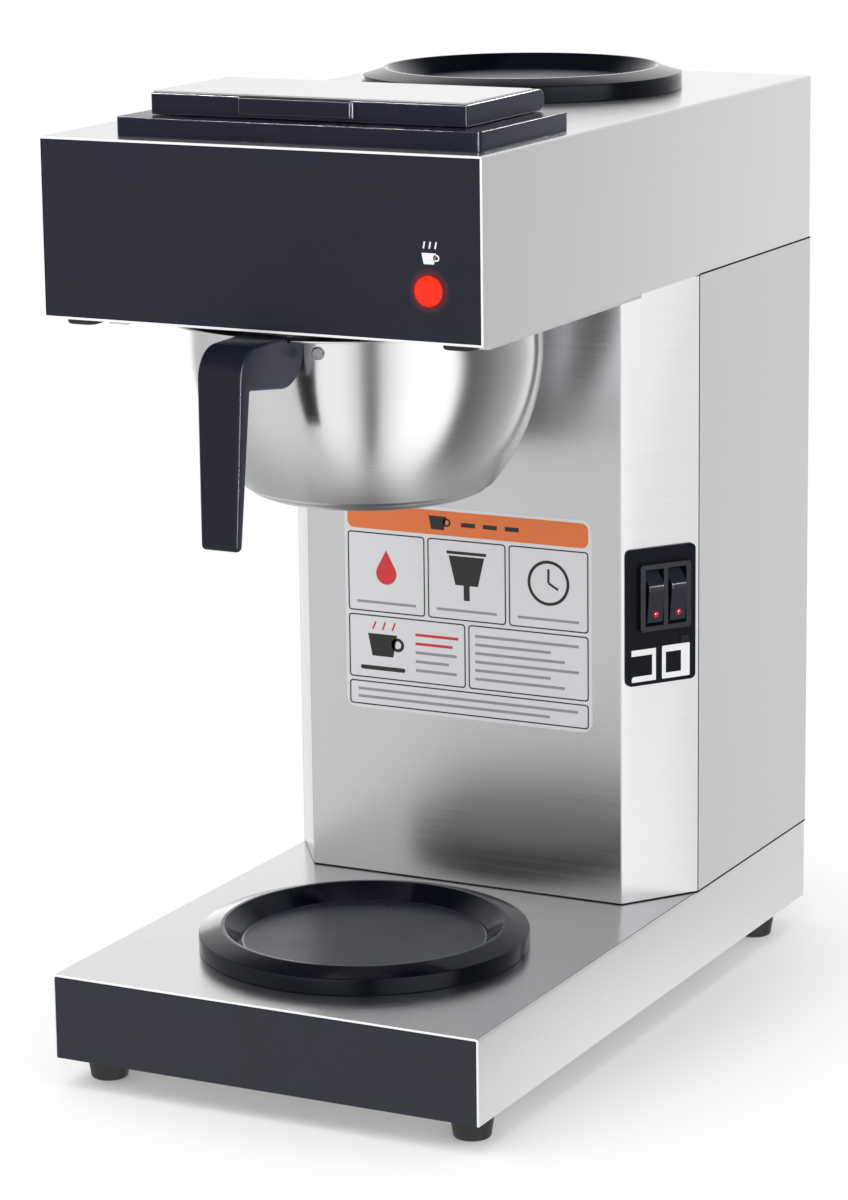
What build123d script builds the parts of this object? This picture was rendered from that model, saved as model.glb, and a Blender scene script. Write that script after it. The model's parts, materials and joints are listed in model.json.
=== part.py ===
"""Commercial pour-over coffee maker with two warmers.

Millimetres. +Z is up, +Y is towards the back, +X is to the right seen from the front.
The origin is on the counter, under the middle of the machine.
"""

from build123d import *
import os
from math import acos, atan2, cos, degrees, hypot, radians, sin, sqrt, tan

os.makedirs("parts", exist_ok=True)

# Case
case_width = 205
case_depth = 360
foot_height = 13
base_height = 38
pillar_height = 285
head_height = 76
head_setback = 11
pillar_front = 194.5
chamfer_width = 23.2
chamfer_depth = 33.3
sheet = 1.0
fold_radius = 1.2
flange_width = 10
seam_gap = 0.4
panel_thickness = 3
panel_gap = 0.2

# Feet
foot_top_radius = 10
foot_bottom_radius = 8
foot_side_inset = 14
foot_front_inset = 22
foot_rear_inset = 30
foot_recess_radius = 5
foot_recess_depth = 7

# Fasteners
screw_radius = 2
screw_length = 9
screw_head_radius = 3.8
screw_head_height = 2.2
screw_clearance = 0.15
screw_head_draft = 0.5
nut_width = 10
nut_height = 4

# Warmers
warmer_radius = 73
warmer_skirt_height = 7.4
warmer_crest_radius = 62.5
warmer_crest_height = 10.2
warmer_crest_width = 1.6
warmer_plate_radius = 54.5
warmer_plate_level = 3.4
warmer_plate_thickness = 1.2
warmer_plate_gap = 0.2
warmer_shelf_width = 3.5
warmer_hole_margin = 4
lower_warmer_setback = 95
upper_warmer_setback = 261
element_ring_radius = 36
element_tube_radius = 3.3
element_leg_length = 12
element_leg_radius = 2.8
element_gap_angle = 36
pan_radius = 46
pan_thickness = 0.8
pan_rim_gap = 0.8
stud_radius = 3
stud_length = 14

# Brew funnel
rim_side_gap = 14.5
rim_width = 12
rim_drop = 3.8
bowl_depth = 77.7
bowl_straight_height = 13
bowl_curve_excess = 20
bowl_corner_radius = 5
bowl_wall = 1.0
rim_stop_gap = 0.5
drip_radius = 5
drip_length = 6
rail_sheet = 1.2
rail_clearance = 0.6
rail_overlap = 7
rail_lip_gap = 0.3
rail_flange = 11
rail_front_setback = 42
rail_screw_inset = 18
bumper_width = 14
bumper_length = 12
bumper_height = 2.8
bumper_setback = 15
bumper_corner = 4

# Handle of the funnel
handle_width = 20.5
handle_foot_width = 17
handle_reach = 25
handle_lean = 3.6
handle_bottom_drop = 84.5
grip_top_depth = 7.5
grip_bottom_depth = 4.8
arm_height = 21
arm_head_gap = 2
arm_outer_radius = 15
arm_inner_radius = 17
arm_rear_flat = 0.9
handle_edge_radius = 1.8
handle_gap = 0.15
bracket_thickness = 1.2
bracket_half_angle = 18
bracket_height = 12
rivet_angle = 12.5
rivet_radius = 1.8
rivet_head_radius = 2.8
rivet_head_height = 1.2
rivet_head_draft = 0.6
handle_screw_angle = 5
handle_screw_drop = 6
handle_screw_depth = 9

# Filter basket
basket_wire_radius = 1.0
basket_rib_radius = 0.8
basket_wall_gap = 1.0
basket_base_gap = 13.25
basket_bowl_gap = 4
basket_height = 62.2
basket_wires = 8

# Lid and its frame
lid_centre = 12
lid_side_gap = 11
lid_height = 9
lid_wall = 2.2
lid_gap = 0.3
lid_setback = 33
lid_plate_thickness = 0.8
lid_plate_inset = 0.6
lip_width = 52
lip_offset = -4.5
lip_depth = 2
lip_height = 7.5
frame_side_gap = 18.5
frame_setback = 22
frame_length = 84
frame_height = 8
frame_rim_width = 2.5
frame_rim_height = 3
frame_corner = 3
knuckle_width = 10
knuckle_inset = 28
knuckle_gap = 0.4
hinge_pin_radius = 1.5
hinge_pin_length = 26
hinge_pin_clearance = 0.05

# Fill basin
basin_side_gap = 24
basin_length = 50
basin_depth = 38
basin_centre_setback = 65
basin_flange = 6
basin_corner = 8
basin_cutout_gap = 0.5
drain_offset = 22
drain_bore = 4
drain_length = 10
strainer_radius = 9
strainer_height = 2.4
strainer_hole_radius = 1.3
strainer_hole_circle = 4.5
strainer_holes = 6

# Water system
tank_radius = 64
tank_head_gap = 23
tank_wall = 1.2
tank_flange = 9
tank_flange_thickness = 2
tank_setback = 277
tank_stand_height = 24
stand_leg_spacing = 92
stand_width = 60
stand_foot = 12
gasket_thickness = 2
cover_thickness = 2
cover_bolts = 6
port_radius = 5
port_wall = 1
port_length = 11
water_tube_radius = 7
tube_bend_radius = 14
tube_straight = 1
tube_clearance = 0.05
dip_end_gap = 12
cold_port_setback = 245
hot_port_setback = 228
heater_tube_radius = 4
heater_leg_spacing = 30
heater_length = 185
heater_terminal_length = 9
heater_offset = 10
thermostat_offset = -36
thermostat_width = 22
thermostat_height = 14
probe_radius = 3
probe_length = 120
spray_radius = 19
spray_thickness = 2.4
spray_neck_radius = 8
spray_neck_length = 8
spray_wall = 0.8
spray_nut_width = 24
spray_chamber_radius = 15
spray_bore = 4
spray_hole_circle = 10
spray_hole_radius = 1
spray_holes = 6

# Switches on the right chamfer
switch_plate_width = 35.9
switch_plate_height = 62.5
switch_plate_thickness = 1.6
switch_plate_corner = 2.5
switch_plate_rise = 133
bezel_width = 26.4
bezel_height = 30.5
bezel_thickness = 2.2
bezel_corner = 1.5
bezel_shift = 0.9
bezel_rise = 9
housing_margin = 1.2
housing_depth = 14
housing_gap = 0.2
rocker_pitch = 11.8
rocker_width = 9
rocker_side_gap = 0.25
rocker_half_length = 11.6
rocker_tilt = 11
rocker_pivot_depth = 3.3
rocker_face_height = 2.8
rocker_back_depth = 8
rocker_back_half = 5.8
rocker_swing_gap = 0.3
pivot_pin_radius = 1.1
pivot_pin_length = 0.9
pivot_pin_clearance = 0.05
rocker_lens_radius = 1.7
rocker_lens_height = 1.2
rocker_lens_offset = 8.6
blade_width = 6.3
blade_thickness = 0.8
blade_length = 8
blade_pitch = 9.3

# Brewing light
light_side_gap = 23.9
light_rise = 21.4
light_radius = 6.9
light_dome = 2.4
light_flange = 1.0
light_body_radius = 5.4
light_body_length = 20
light_hole_gap = 0.15

# Back of the machine
gland_side_gap = 32.5
gland_rise = 34
gland_flange_radius = 10
gland_flange = 3
gland_neck_radius = 7
gland_neck_length = 9
gland_bore_radius = 4.5
vent_length = 62
vent_width = 4
vent_pitch = 10
vent_rows = 6
vent_columns = 2
base_vents = 4
base_vent_pitch = 30
terminal_length = 36
terminal_depth = 16
terminal_height = 17
terminal_wells = 3
terminal_well_rows = 2
terminal_well_pitch = 12
terminal_row_pitch = 8
terminal_well_width = 9
terminal_well_length = 5.4
terminal_well_drop = 5.6
terminal_inset = 7
terminal_rear_gap = 12
wire_hole_length = 50
wire_hole_width = 12
wire_hole_inset = 20

# Places worked out from the sizes above
half_width = case_width / 2
base_front_y = -(case_depth + gland_flange - handle_reach) / 2
back_y = base_front_y + case_depth
head_front_y = base_front_y + head_setback
pillar_front_y = base_front_y + pillar_front
seam_y = pillar_front_y + chamfer_depth
base_z = foot_height
base_top = base_z + base_height
head_z = base_top + pillar_height
head_top = head_z + head_height
rim_radius = half_width - rim_side_gap
bowl_radius = rim_radius - rim_width
bowl_curve_radius = bowl_radius + bowl_curve_excess
bowl_curve_depth = bowl_depth - bowl_straight_height
bowl_floor_radius = sqrt(bowl_curve_radius**2 - bowl_curve_depth**2) - bowl_curve_excess
basket_top_radius = bowl_radius - basket_bowl_gap
basket_base_radius = bowl_floor_radius - basket_base_gap
funnel_y = pillar_front_y - rim_radius - rim_stop_gap
frame_width = case_width - 2 * frame_side_gap
lid_width = frame_width - 2 * lid_side_gap
knuckle_spacing = lid_width - 2 * knuckle_inset
basin_width = frame_width - 2 * basin_side_gap
screw_hole_radius = screw_radius + screw_clearance


def save(piece, name):
    """Name a finished piece and write its STEP file."""
    piece.part.label = name
    export_step(piece.part, f"parts/{name}.step")


def upright(radius_axis_y):
    """Plane for the half section of a turned piece: X is the radius and Y is the height."""
    return Plane.XZ.offset(-radius_axis_y)


def turning_axis(axis_y, axis_x=0):
    """Upright axis of a turned piece."""
    return Axis((axis_x, axis_y, 0), (0, 0, 1))


def make_turned(half_section):
    """Turn a half section about the upright axis at the origin. X is the radius, Y the height."""
    with BuildPart() as turned:
        with BuildSketch(Plane.XZ):
            Polygon(*half_section, align=None)
        revolve(axis=Axis.Z)
    return turned.part


def make_headed(name, places, shank_radius, length, head_radius, head_height, head_draft):
    """A group of equal screws or rivets. Each place is a plane whose normal points out of the head."""
    headed = make_turned(
        [
            (0, -length),
            (shank_radius, -length),
            (shank_radius, 0),
            (head_radius, 0),
            (head_radius - head_draft, head_height),
            (0, head_height),
        ]
    )
    with BuildPart() as group:
        with Locations(*places):
            add(headed)
    save(group, name)


def make_screws(name, places, length=screw_length):
    """A group of pan head screws."""
    make_headed(
        name, places, screw_radius, length, screw_head_radius, screw_head_height, screw_head_draft
    )


# Case shells: folded sheet, open below, with a shallow pocket in front for the front panel


def fold_shell(front_y, low_z, height, bottom_edge):
    """One folded box of the case. bottom_edge is the strip of sheet left under the front panel."""
    depth = back_y - front_y
    inner_depth = depth - panel_thickness - 2 * sheet
    with BuildPart() as shell:
        with BuildSketch(Plane.XY.offset(low_z)):
            with Locations((0, front_y + depth / 2)):
                Rectangle(case_width, depth)
        extrude(amount=height)
        top_edges = shell.edges().group_by(Axis.Z)[-1].sort_by(Axis.Y)[1:]
        rear_edges = shell.edges().filter_by(Axis.Z).group_by(Axis.Y)[-1]
        fillet(top_edges + rear_edges, fold_radius)
        with BuildSketch(Plane.XY.offset(low_z)):
            with Locations((0, back_y - sheet - inner_depth / 2)):
                Rectangle(case_width - 2 * sheet, inner_depth)
        extrude(amount=height - sheet, mode=Mode.SUBTRACT)
        pocket_height = height - sheet - bottom_edge
        with BuildSketch(Plane.XZ.offset(-front_y)):
            with Locations((0, low_z + bottom_edge + pocket_height / 2)):
                Rectangle(case_width - 2 * sheet, pocket_height)
        extrude(amount=-panel_thickness, mode=Mode.SUBTRACT)
    return shell


def make_front_panel(front_y, low_z, height, bottom_edge):
    """Dark panel that lies flush in the pocket of a case shell."""
    panel_height = height - sheet - bottom_edge - 2 * panel_gap
    with BuildPart() as panel:
        with BuildSketch(Plane.XZ.offset(-front_y)):
            with Locations((0, low_z + bottom_edge + panel_gap + panel_height / 2)):
                Rectangle(case_width - 2 * (sheet + panel_gap), panel_height)
        extrude(amount=-panel_thickness)
    return panel


warmer_hole_radius = warmer_plate_radius + warmer_hole_margin
lower_warmer_y = base_front_y + lower_warmer_setback
upper_warmer_y = base_front_y + upper_warmer_setback

base_box = fold_shell(base_front_y, base_z, base_height, 0)
with BuildPart() as base_shell:
    add(base_box.part)
    with BuildSketch(Plane.XY.offset(base_top)):
        with Locations((0, lower_warmer_y)):
            Circle(warmer_hole_radius)
        with Locations((0, back_y - wire_hole_inset)):
            SlotOverall(wire_hole_length, wire_hole_width)
    extrude(amount=-sheet, mode=Mode.SUBTRACT)
save(base_shell, "base_shell")

base_front_panel = make_front_panel(base_front_y, base_z, base_height, 0)
save(base_front_panel, "base_front_panel")

basin_centre_y = base_front_y + basin_centre_setback
basin_outer_width = basin_width + 2 * sheet
basin_outer_length = basin_length + 2 * sheet
light_x = half_width - light_side_gap
light_z = head_z + light_rise
light_hole_radius = light_body_radius + light_hole_gap

head_box = fold_shell(head_front_y, head_z, head_height, sheet)
with BuildPart() as head_shell:
    add(head_box.part)
    with BuildSketch(Plane.XY.offset(head_top)):
        with Locations((0, upper_warmer_y)):
            Circle(warmer_hole_radius)
        with Locations((lid_centre, basin_centre_y)):
            RectangleRounded(
                basin_outer_width + 2 * basin_cutout_gap,
                basin_outer_length + 2 * basin_cutout_gap,
                basin_corner,
            )
    extrude(amount=-sheet, mode=Mode.SUBTRACT)
    with BuildSketch(Plane.XZ.offset(-head_front_y)):
        with Locations((light_x, light_z)):
            Circle(light_hole_radius)
    extrude(amount=-(panel_thickness + 2 * sheet), mode=Mode.SUBTRACT)
save(head_shell, "head_shell")

head_panel_blank = make_front_panel(head_front_y, head_z, head_height, sheet)
with BuildPart() as head_front_panel:
    add(head_panel_blank.part)
    with BuildSketch(Plane.XZ.offset(-head_front_y)):
        with Locations((light_x, light_z)):
            Circle(light_hole_radius)
    extrude(amount=-panel_thickness, mode=Mode.SUBTRACT)
save(head_front_panel, "head_front_panel")

# Feet and bottom plate

foot_x = half_width - foot_side_inset
foot_front_y = base_front_y + foot_front_inset
foot_rear_y = back_y - foot_rear_inset
foot_places = [(x, y) for x in (-foot_x, foot_x) for y in (foot_front_y, foot_rear_y)]

plate_length = case_depth - panel_thickness - 2 * sheet - 2 * panel_gap
plate_middle_y = back_y - sheet - panel_gap - plate_length / 2
with BuildPart() as base_bottom_plate:
    with BuildSketch(Plane.XY.offset(base_z)):
        with Locations((0, plate_middle_y)):
            Rectangle(case_width - 2 * (sheet + panel_gap), plate_length)
        with Locations(*foot_places):
            Circle(screw_hole_radius, mode=Mode.SUBTRACT)
        with Locations((0, lower_warmer_y)):
            with GridLocations(0, base_vent_pitch, 1, base_vents):
                Rectangle(vent_length, vent_width, mode=Mode.SUBTRACT)
    extrude(amount=sheet)
save(base_bottom_plate, "base_bottom_plate")

rubber_foot = make_turned(
    [
        (foot_recess_radius, 0),
        (foot_bottom_radius, 0),
        (foot_top_radius, foot_height),
        (screw_hole_radius, foot_height),
        (screw_hole_radius, foot_recess_depth),
        (foot_recess_radius, foot_recess_depth),
    ]
)
with BuildPart() as rubber_feet:
    with Locations(*foot_places):
        add(rubber_foot)
save(rubber_feet, "rubber_feet")

foot_screw_planes = [
    Plane(origin=(x, y, foot_recess_depth), z_dir=(0, 0, -1)) for x, y in foot_places
]
make_screws("foot_screws", foot_screw_planes, foot_height - foot_recess_depth + screw_length)

# Pillar: a folded front cover with chamfered corners, two sides and a back panel

pillar_low_z = base_top + seam_gap
pillar_sheet_height = pillar_height - 2 * seam_gap
chamfer_x = half_width - chamfer_width

chamfer_along = Vector(chamfer_width, chamfer_depth, 0).normalized()
chamfer_out = Vector(chamfer_depth, -chamfer_width, 0).normalized()
chamfer_middle = Vector(
    half_width - chamfer_width / 2,
    pillar_front_y + chamfer_depth / 2,
    base_top + switch_plate_rise,
)
plate_plane = Plane(origin=chamfer_middle, x_dir=chamfer_along, z_dir=chamfer_out)
bezel_middle = chamfer_middle + chamfer_along * bezel_shift + Vector(0, 0, bezel_rise)
bezel_plane = Plane(origin=bezel_middle, x_dir=chamfer_along, z_dir=chamfer_out)
housing_width = bezel_width - 2 * housing_margin
housing_height = bezel_height - 2 * housing_margin
housing_hole_width = housing_width + 2 * housing_gap
housing_hole_height = housing_height + 2 * housing_gap

with BuildPart() as pillar_front_cover:
    with BuildSketch(Plane.XY.offset(pillar_low_z)):
        with BuildLine():
            Polyline(
                (-(half_width - flange_width), seam_y),
                (-half_width, seam_y),
                (-chamfer_x, pillar_front_y),
                (chamfer_x, pillar_front_y),
                (half_width, seam_y),
                (half_width - flange_width, seam_y),
            )
            offset(amount=sheet, side=Side.LEFT, kind=Kind.INTERSECTION)
        make_face()
    extrude(amount=pillar_sheet_height)
    corner_edges = pillar_front_cover.edges().filter_by(Axis.Z).group_by(Axis.Y)[0]
    fillet(corner_edges, fold_radius)
    with BuildSketch(bezel_plane):
        Rectangle(housing_hole_width, housing_hole_height)
    extrude(amount=-2 * sheet, mode=Mode.SUBTRACT)
save(pillar_front_cover, "pillar_front_cover")

side_front_y = seam_y + seam_gap
side_rear_y = back_y - sheet
back_screw_x = half_width - flange_width / 2 - sheet / 2
back_screw_heights = [
    pillar_low_z + flange_width,
    pillar_low_z + pillar_sheet_height / 2,
    pillar_low_z + pillar_sheet_height - flange_width,
]
with BuildPart() as pillar_side_right:
    with BuildSketch(Plane.XY.offset(pillar_low_z)):
        with BuildLine():
            Polyline(
                (half_width - flange_width, side_front_y),
                (half_width, side_front_y),
                (half_width, side_rear_y),
                (half_width - flange_width, side_rear_y),
            )
            offset(amount=sheet, side=Side.LEFT, kind=Kind.INTERSECTION)
        make_face()
    extrude(amount=pillar_sheet_height)
    with BuildSketch(Plane.XZ.offset(-side_rear_y)):
        with Locations(*[(back_screw_x, z) for z in back_screw_heights]):
            Circle(screw_radius)
    extrude(amount=2 * sheet, mode=Mode.SUBTRACT)
save(pillar_side_right, "pillar_side_right")

with BuildPart() as pillar_side_left:
    mirror(pillar_side_right.part, about=Plane.YZ)
save(pillar_side_left, "pillar_side_left")

back_screw_places = [(x, z) for x in (-back_screw_x, back_screw_x) for z in back_screw_heights]
gland_x = gland_side_gap - half_width
gland_z = base_top + gland_rise
vent_middle_z = head_z - vent_rows * vent_pitch
with BuildPart() as back_panel:
    with BuildSketch(Plane.XZ.offset(-back_y)):
        with Locations((0, pillar_low_z + pillar_sheet_height / 2)):
            Rectangle(case_width, pillar_sheet_height)
        with Locations(*back_screw_places):
            Circle(screw_hole_radius, mode=Mode.SUBTRACT)
        with Locations((gland_x, gland_z)):
            Circle(gland_neck_radius + screw_clearance, mode=Mode.SUBTRACT)
        with Locations((0, vent_middle_z)):
            with GridLocations(vent_length + vent_pitch, vent_pitch, vent_columns, vent_rows):
                Rectangle(vent_length, vent_width, mode=Mode.SUBTRACT)
    extrude(amount=sheet)
save(back_panel, "back_panel")

# Warmers


def make_warmer(name, axis_y, level):
    """One warmer on a steel surface at height level: ring, coated plate, ring element and pan."""
    plate_top_z = level + warmer_plate_level
    shelf_z = plate_top_z - warmer_plate_thickness
    crest_z = level + warmer_crest_height
    crest_half = warmer_crest_width / 2
    ring_bore = warmer_plate_radius + warmer_plate_gap
    axis = turning_axis(axis_y)
    with BuildPart() as ring:
        with BuildSketch(upright(axis_y)):
            Polygon(
                (ring_bore - warmer_shelf_width, level),
                (warmer_radius, level),
                (warmer_radius, level + warmer_skirt_height),
                (warmer_crest_radius + crest_half, crest_z),
                (warmer_crest_radius - crest_half, crest_z),
                (ring_bore, plate_top_z),
                (ring_bore, shelf_z),
                (ring_bore - warmer_shelf_width, shelf_z),
                align=None,
            )
        revolve(axis=axis)
    save(ring, f"{name}_ring")

    with BuildPart() as plate:
        with BuildSketch(upright(axis_y)):
            Polygon(
                (0, shelf_z - stud_length),
                (stud_radius, shelf_z - stud_length),
                (stud_radius, shelf_z),
                (warmer_plate_radius, shelf_z),
                (warmer_plate_radius, plate_top_z),
                (0, plate_top_z),
                align=None,
            )
        revolve(axis=axis)
    save(plate, f"{name}_plate")

    element_z = shelf_z - element_tube_radius
    element_arc = 360 - element_gap_angle
    leg_places = [
        (
            element_ring_radius * cos(radians(angle)),
            axis_y + element_ring_radius * sin(radians(angle)),
        )
        for angle in (0, element_arc)
    ]
    with BuildPart() as element:
        with BuildSketch(upright(axis_y)):
            with Locations((element_ring_radius, element_z)):
                RegularPolygon(element_tube_radius, 6, major_radius=False)
        revolve(axis=axis, revolution_arc=element_arc)
        with BuildSketch(Plane.XY.offset(element_z)):
            with Locations(*leg_places):
                Circle(element_leg_radius)
        extrude(amount=-element_leg_length)
    save(element, f"{name}_element")

    pan_z = element_z - element_tube_radius - pan_thickness
    pan_rim_z = shelf_z - pan_rim_gap
    with BuildPart() as pan:
        with BuildSketch(upright(axis_y)):
            Polygon(
                (0, pan_z),
                (pan_radius, pan_z),
                (pan_radius, pan_rim_z),
                (pan_radius - pan_thickness, pan_rim_z),
                (pan_radius - pan_thickness, pan_z + pan_thickness),
                (0, pan_z + pan_thickness),
                align=None,
            )
        revolve(axis=axis)
        with BuildSketch(Plane.XY.offset(pan_z)):
            with Locations((0, axis_y)):
                Circle(stud_radius + screw_clearance)
            with Locations(*leg_places):
                Circle(element_tube_radius)
        extrude(amount=pan_thickness, mode=Mode.SUBTRACT)
    save(pan, f"{name}_pan")
    return Plane.XY.offset(pan_z).move(Location((0, axis_y, 0)))


nut_planes = [
    make_warmer("lower_warmer", lower_warmer_y, base_top),
    make_warmer("upper_warmer", upper_warmer_y, head_top),
]
with BuildPart() as warmer_nuts:
    for nut_plane in nut_planes:
        with BuildSketch(nut_plane):
            RegularPolygon(nut_width / 2, 6, major_radius=False)
            Circle(stud_radius, mode=Mode.SUBTRACT)
        extrude(amount=-nut_height)
save(warmer_nuts, "warmer_nuts")

# Underside of the head: closing plate, funnel rails and bumpers

rim_top_z = head_z - rim_drop
rim_z = rim_top_z - bowl_wall
rail_lip_z = rim_z - rail_lip_gap
rail_web_x = rim_radius + rail_clearance
rail_outer_x = rail_web_x + rail_sheet
rail_front_y = base_front_y + rail_front_setback
rail_rear_y = pillar_front_y - rail_sheet
rail_screw_x = rail_outer_x - rail_flange / 2
rail_screw_places = [
    (x, y)
    for x in (-rail_screw_x, rail_screw_x)
    for y in (rail_front_y + rail_screw_inset, rail_rear_y - rail_screw_inset)
]

underside_front_y = head_front_y + panel_thickness + sheet + panel_gap
underside_rear_y = pillar_front_y + flange_width
with BuildPart() as head_underside_plate:
    with BuildSketch(Plane.XY.offset(head_z)):
        with Locations((0, (underside_front_y + underside_rear_y) / 2)):
            Rectangle(
                case_width - 2 * (sheet + panel_gap),
                underside_rear_y - underside_front_y,
            )
        with Locations((0, funnel_y)):
            Circle(spray_neck_radius + screw_clearance, mode=Mode.SUBTRACT)
        with Locations(*rail_screw_places):
            Circle(screw_hole_radius, mode=Mode.SUBTRACT)
    extrude(amount=sheet)
save(head_underside_plate, "head_underside_plate")

with BuildPart() as funnel_rail_right:
    with BuildSketch(Plane.XZ.offset(-rail_front_y)):
        Polygon(
            (rail_outer_x - rail_flange, head_z),
            (rail_outer_x, head_z),
            (rail_outer_x, rail_lip_z - rail_sheet),
            (rim_radius - rail_overlap, rail_lip_z - rail_sheet),
            (rim_radius - rail_overlap, rail_lip_z),
            (rail_web_x, rail_lip_z),
            (rail_web_x, head_z - rail_sheet),
            (rail_outer_x - rail_flange, head_z - rail_sheet),
            align=None,
        )
    extrude(amount=-(rail_rear_y - rail_front_y))
    with BuildSketch(Plane.XY.offset(head_z)):
        with Locations(*rail_screw_places):
            Circle(screw_hole_radius)
    extrude(amount=-rail_sheet, mode=Mode.SUBTRACT)
save(funnel_rail_right, "funnel_rail_right")

with BuildPart() as funnel_rail_left:
    mirror(funnel_rail_right.part, about=Plane.YZ)
save(funnel_rail_left, "funnel_rail_left")

rail_screw_planes = [
    Plane(origin=(x, y, head_z - rail_sheet), z_dir=(0, 0, -1)) for x, y in rail_screw_places
]
make_screws("rail_screws", rail_screw_planes)

bumper_x = rim_radius
bumper_y = base_front_y + bumper_setback + bumper_length / 2
with BuildPart() as head_bumpers:
    with BuildSketch(Plane.XY.offset(head_z)):
        with Locations((-bumper_x, bumper_y), (bumper_x, bumper_y)):
            RectangleRounded(bumper_width, bumper_length, bumper_corner)
    extrude(amount=-bumper_height)
save(head_bumpers, "head_bumpers")

# Spray head

spray_z = head_z - spray_thickness
spray_nut_z = head_z + sheet
neck_top_z = head_z + spray_neck_length
with BuildPart() as spray_head:
    with BuildSketch(upright(funnel_y)):
        Polygon(
            (0, spray_z),
            (spray_radius, spray_z),
            (spray_radius, head_z),
            (spray_neck_radius, head_z),
            (spray_neck_radius, neck_top_z),
            (port_radius, neck_top_z),
            (port_radius, neck_top_z + port_length),
            (spray_bore, neck_top_z + port_length),
            (spray_bore, head_z - spray_wall),
            (spray_chamber_radius, head_z - spray_wall),
            (spray_chamber_radius, spray_z + spray_wall),
            (0, spray_z + spray_wall),
            align=None,
        )
    revolve(axis=turning_axis(funnel_y))
    with BuildSketch(Plane.XY.offset(spray_z)):
        with Locations((0, funnel_y)):
            with PolarLocations(spray_hole_circle, spray_holes):
                Circle(spray_hole_radius)
    extrude(amount=spray_wall, mode=Mode.SUBTRACT)
save(spray_head, "spray_head")

with BuildPart() as spray_head_nut:
    with BuildSketch(Plane.XY.offset(spray_nut_z)):
        with Locations((0, funnel_y)):
            RegularPolygon(spray_nut_width / 2, 6, major_radius=False)
            Circle(spray_neck_radius, mode=Mode.SUBTRACT)
    extrude(amount=nut_height)
save(spray_head_nut, "spray_head_nut")

# Fill basin under the lid

basin_floor_z = head_top + sheet - basin_depth
drain_x = lid_centre + drain_offset
drain_outer = drain_bore + port_wall
drain_end_z = basin_floor_z - sheet - drain_length
with BuildPart() as fill_basin:
    with BuildSketch(Plane.XY.offset(basin_floor_z - sheet)):
        with Locations((lid_centre, basin_centre_y)):
            RectangleRounded(basin_outer_width, basin_outer_length, basin_corner)
    extrude(amount=basin_depth + sheet)
    with BuildSketch(Plane.XY.offset(head_top)):
        with Locations((lid_centre, basin_centre_y)):
            RectangleRounded(
                basin_outer_width + 2 * basin_flange,
                basin_outer_length + 2 * basin_flange,
                basin_corner,
            )
    extrude(amount=sheet)
    with BuildSketch(Plane.XY.offset(basin_floor_z)):
        with Locations((lid_centre, basin_centre_y)):
            RectangleRounded(basin_width, basin_length, basin_corner - sheet)
    extrude(amount=basin_depth, mode=Mode.SUBTRACT)
    with BuildSketch(Plane.XY.offset(basin_floor_z - sheet)):
        with Locations((drain_x, basin_centre_y)):
            Circle(drain_outer)
    extrude(amount=-drain_length)
    with BuildSketch(Plane.XY.offset(basin_floor_z)):
        with Locations((drain_x, basin_centre_y)):
            Circle(drain_bore)
    extrude(amount=-(sheet + drain_length), mode=Mode.SUBTRACT)
save(fill_basin, "fill_basin")

with BuildPart() as basin_strainer:
    with BuildSketch(Plane.XZ.offset(-basin_centre_y)):
        Polygon(
            (drain_x, basin_floor_z + strainer_height),
            (drain_x + strainer_radius, basin_floor_z + strainer_height),
            (drain_x + strainer_radius, basin_floor_z),
            (drain_x + strainer_radius - sheet, basin_floor_z),
            (drain_x + strainer_radius - sheet, basin_floor_z + strainer_height - sheet),
            (drain_x, basin_floor_z + strainer_height - sheet),
            align=None,
        )
    revolve(axis=turning_axis(basin_centre_y, drain_x))
    with BuildSketch(Plane.XY.offset(basin_floor_z + strainer_height)):
        with Locations((drain_x, basin_centre_y)):
            with PolarLocations(strainer_hole_circle, strainer_holes):
                Circle(strainer_hole_radius)
    extrude(amount=-sheet, mode=Mode.SUBTRACT)
save(basin_strainer, "basin_strainer")

# Lid frame with its hinge knuckles

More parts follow.
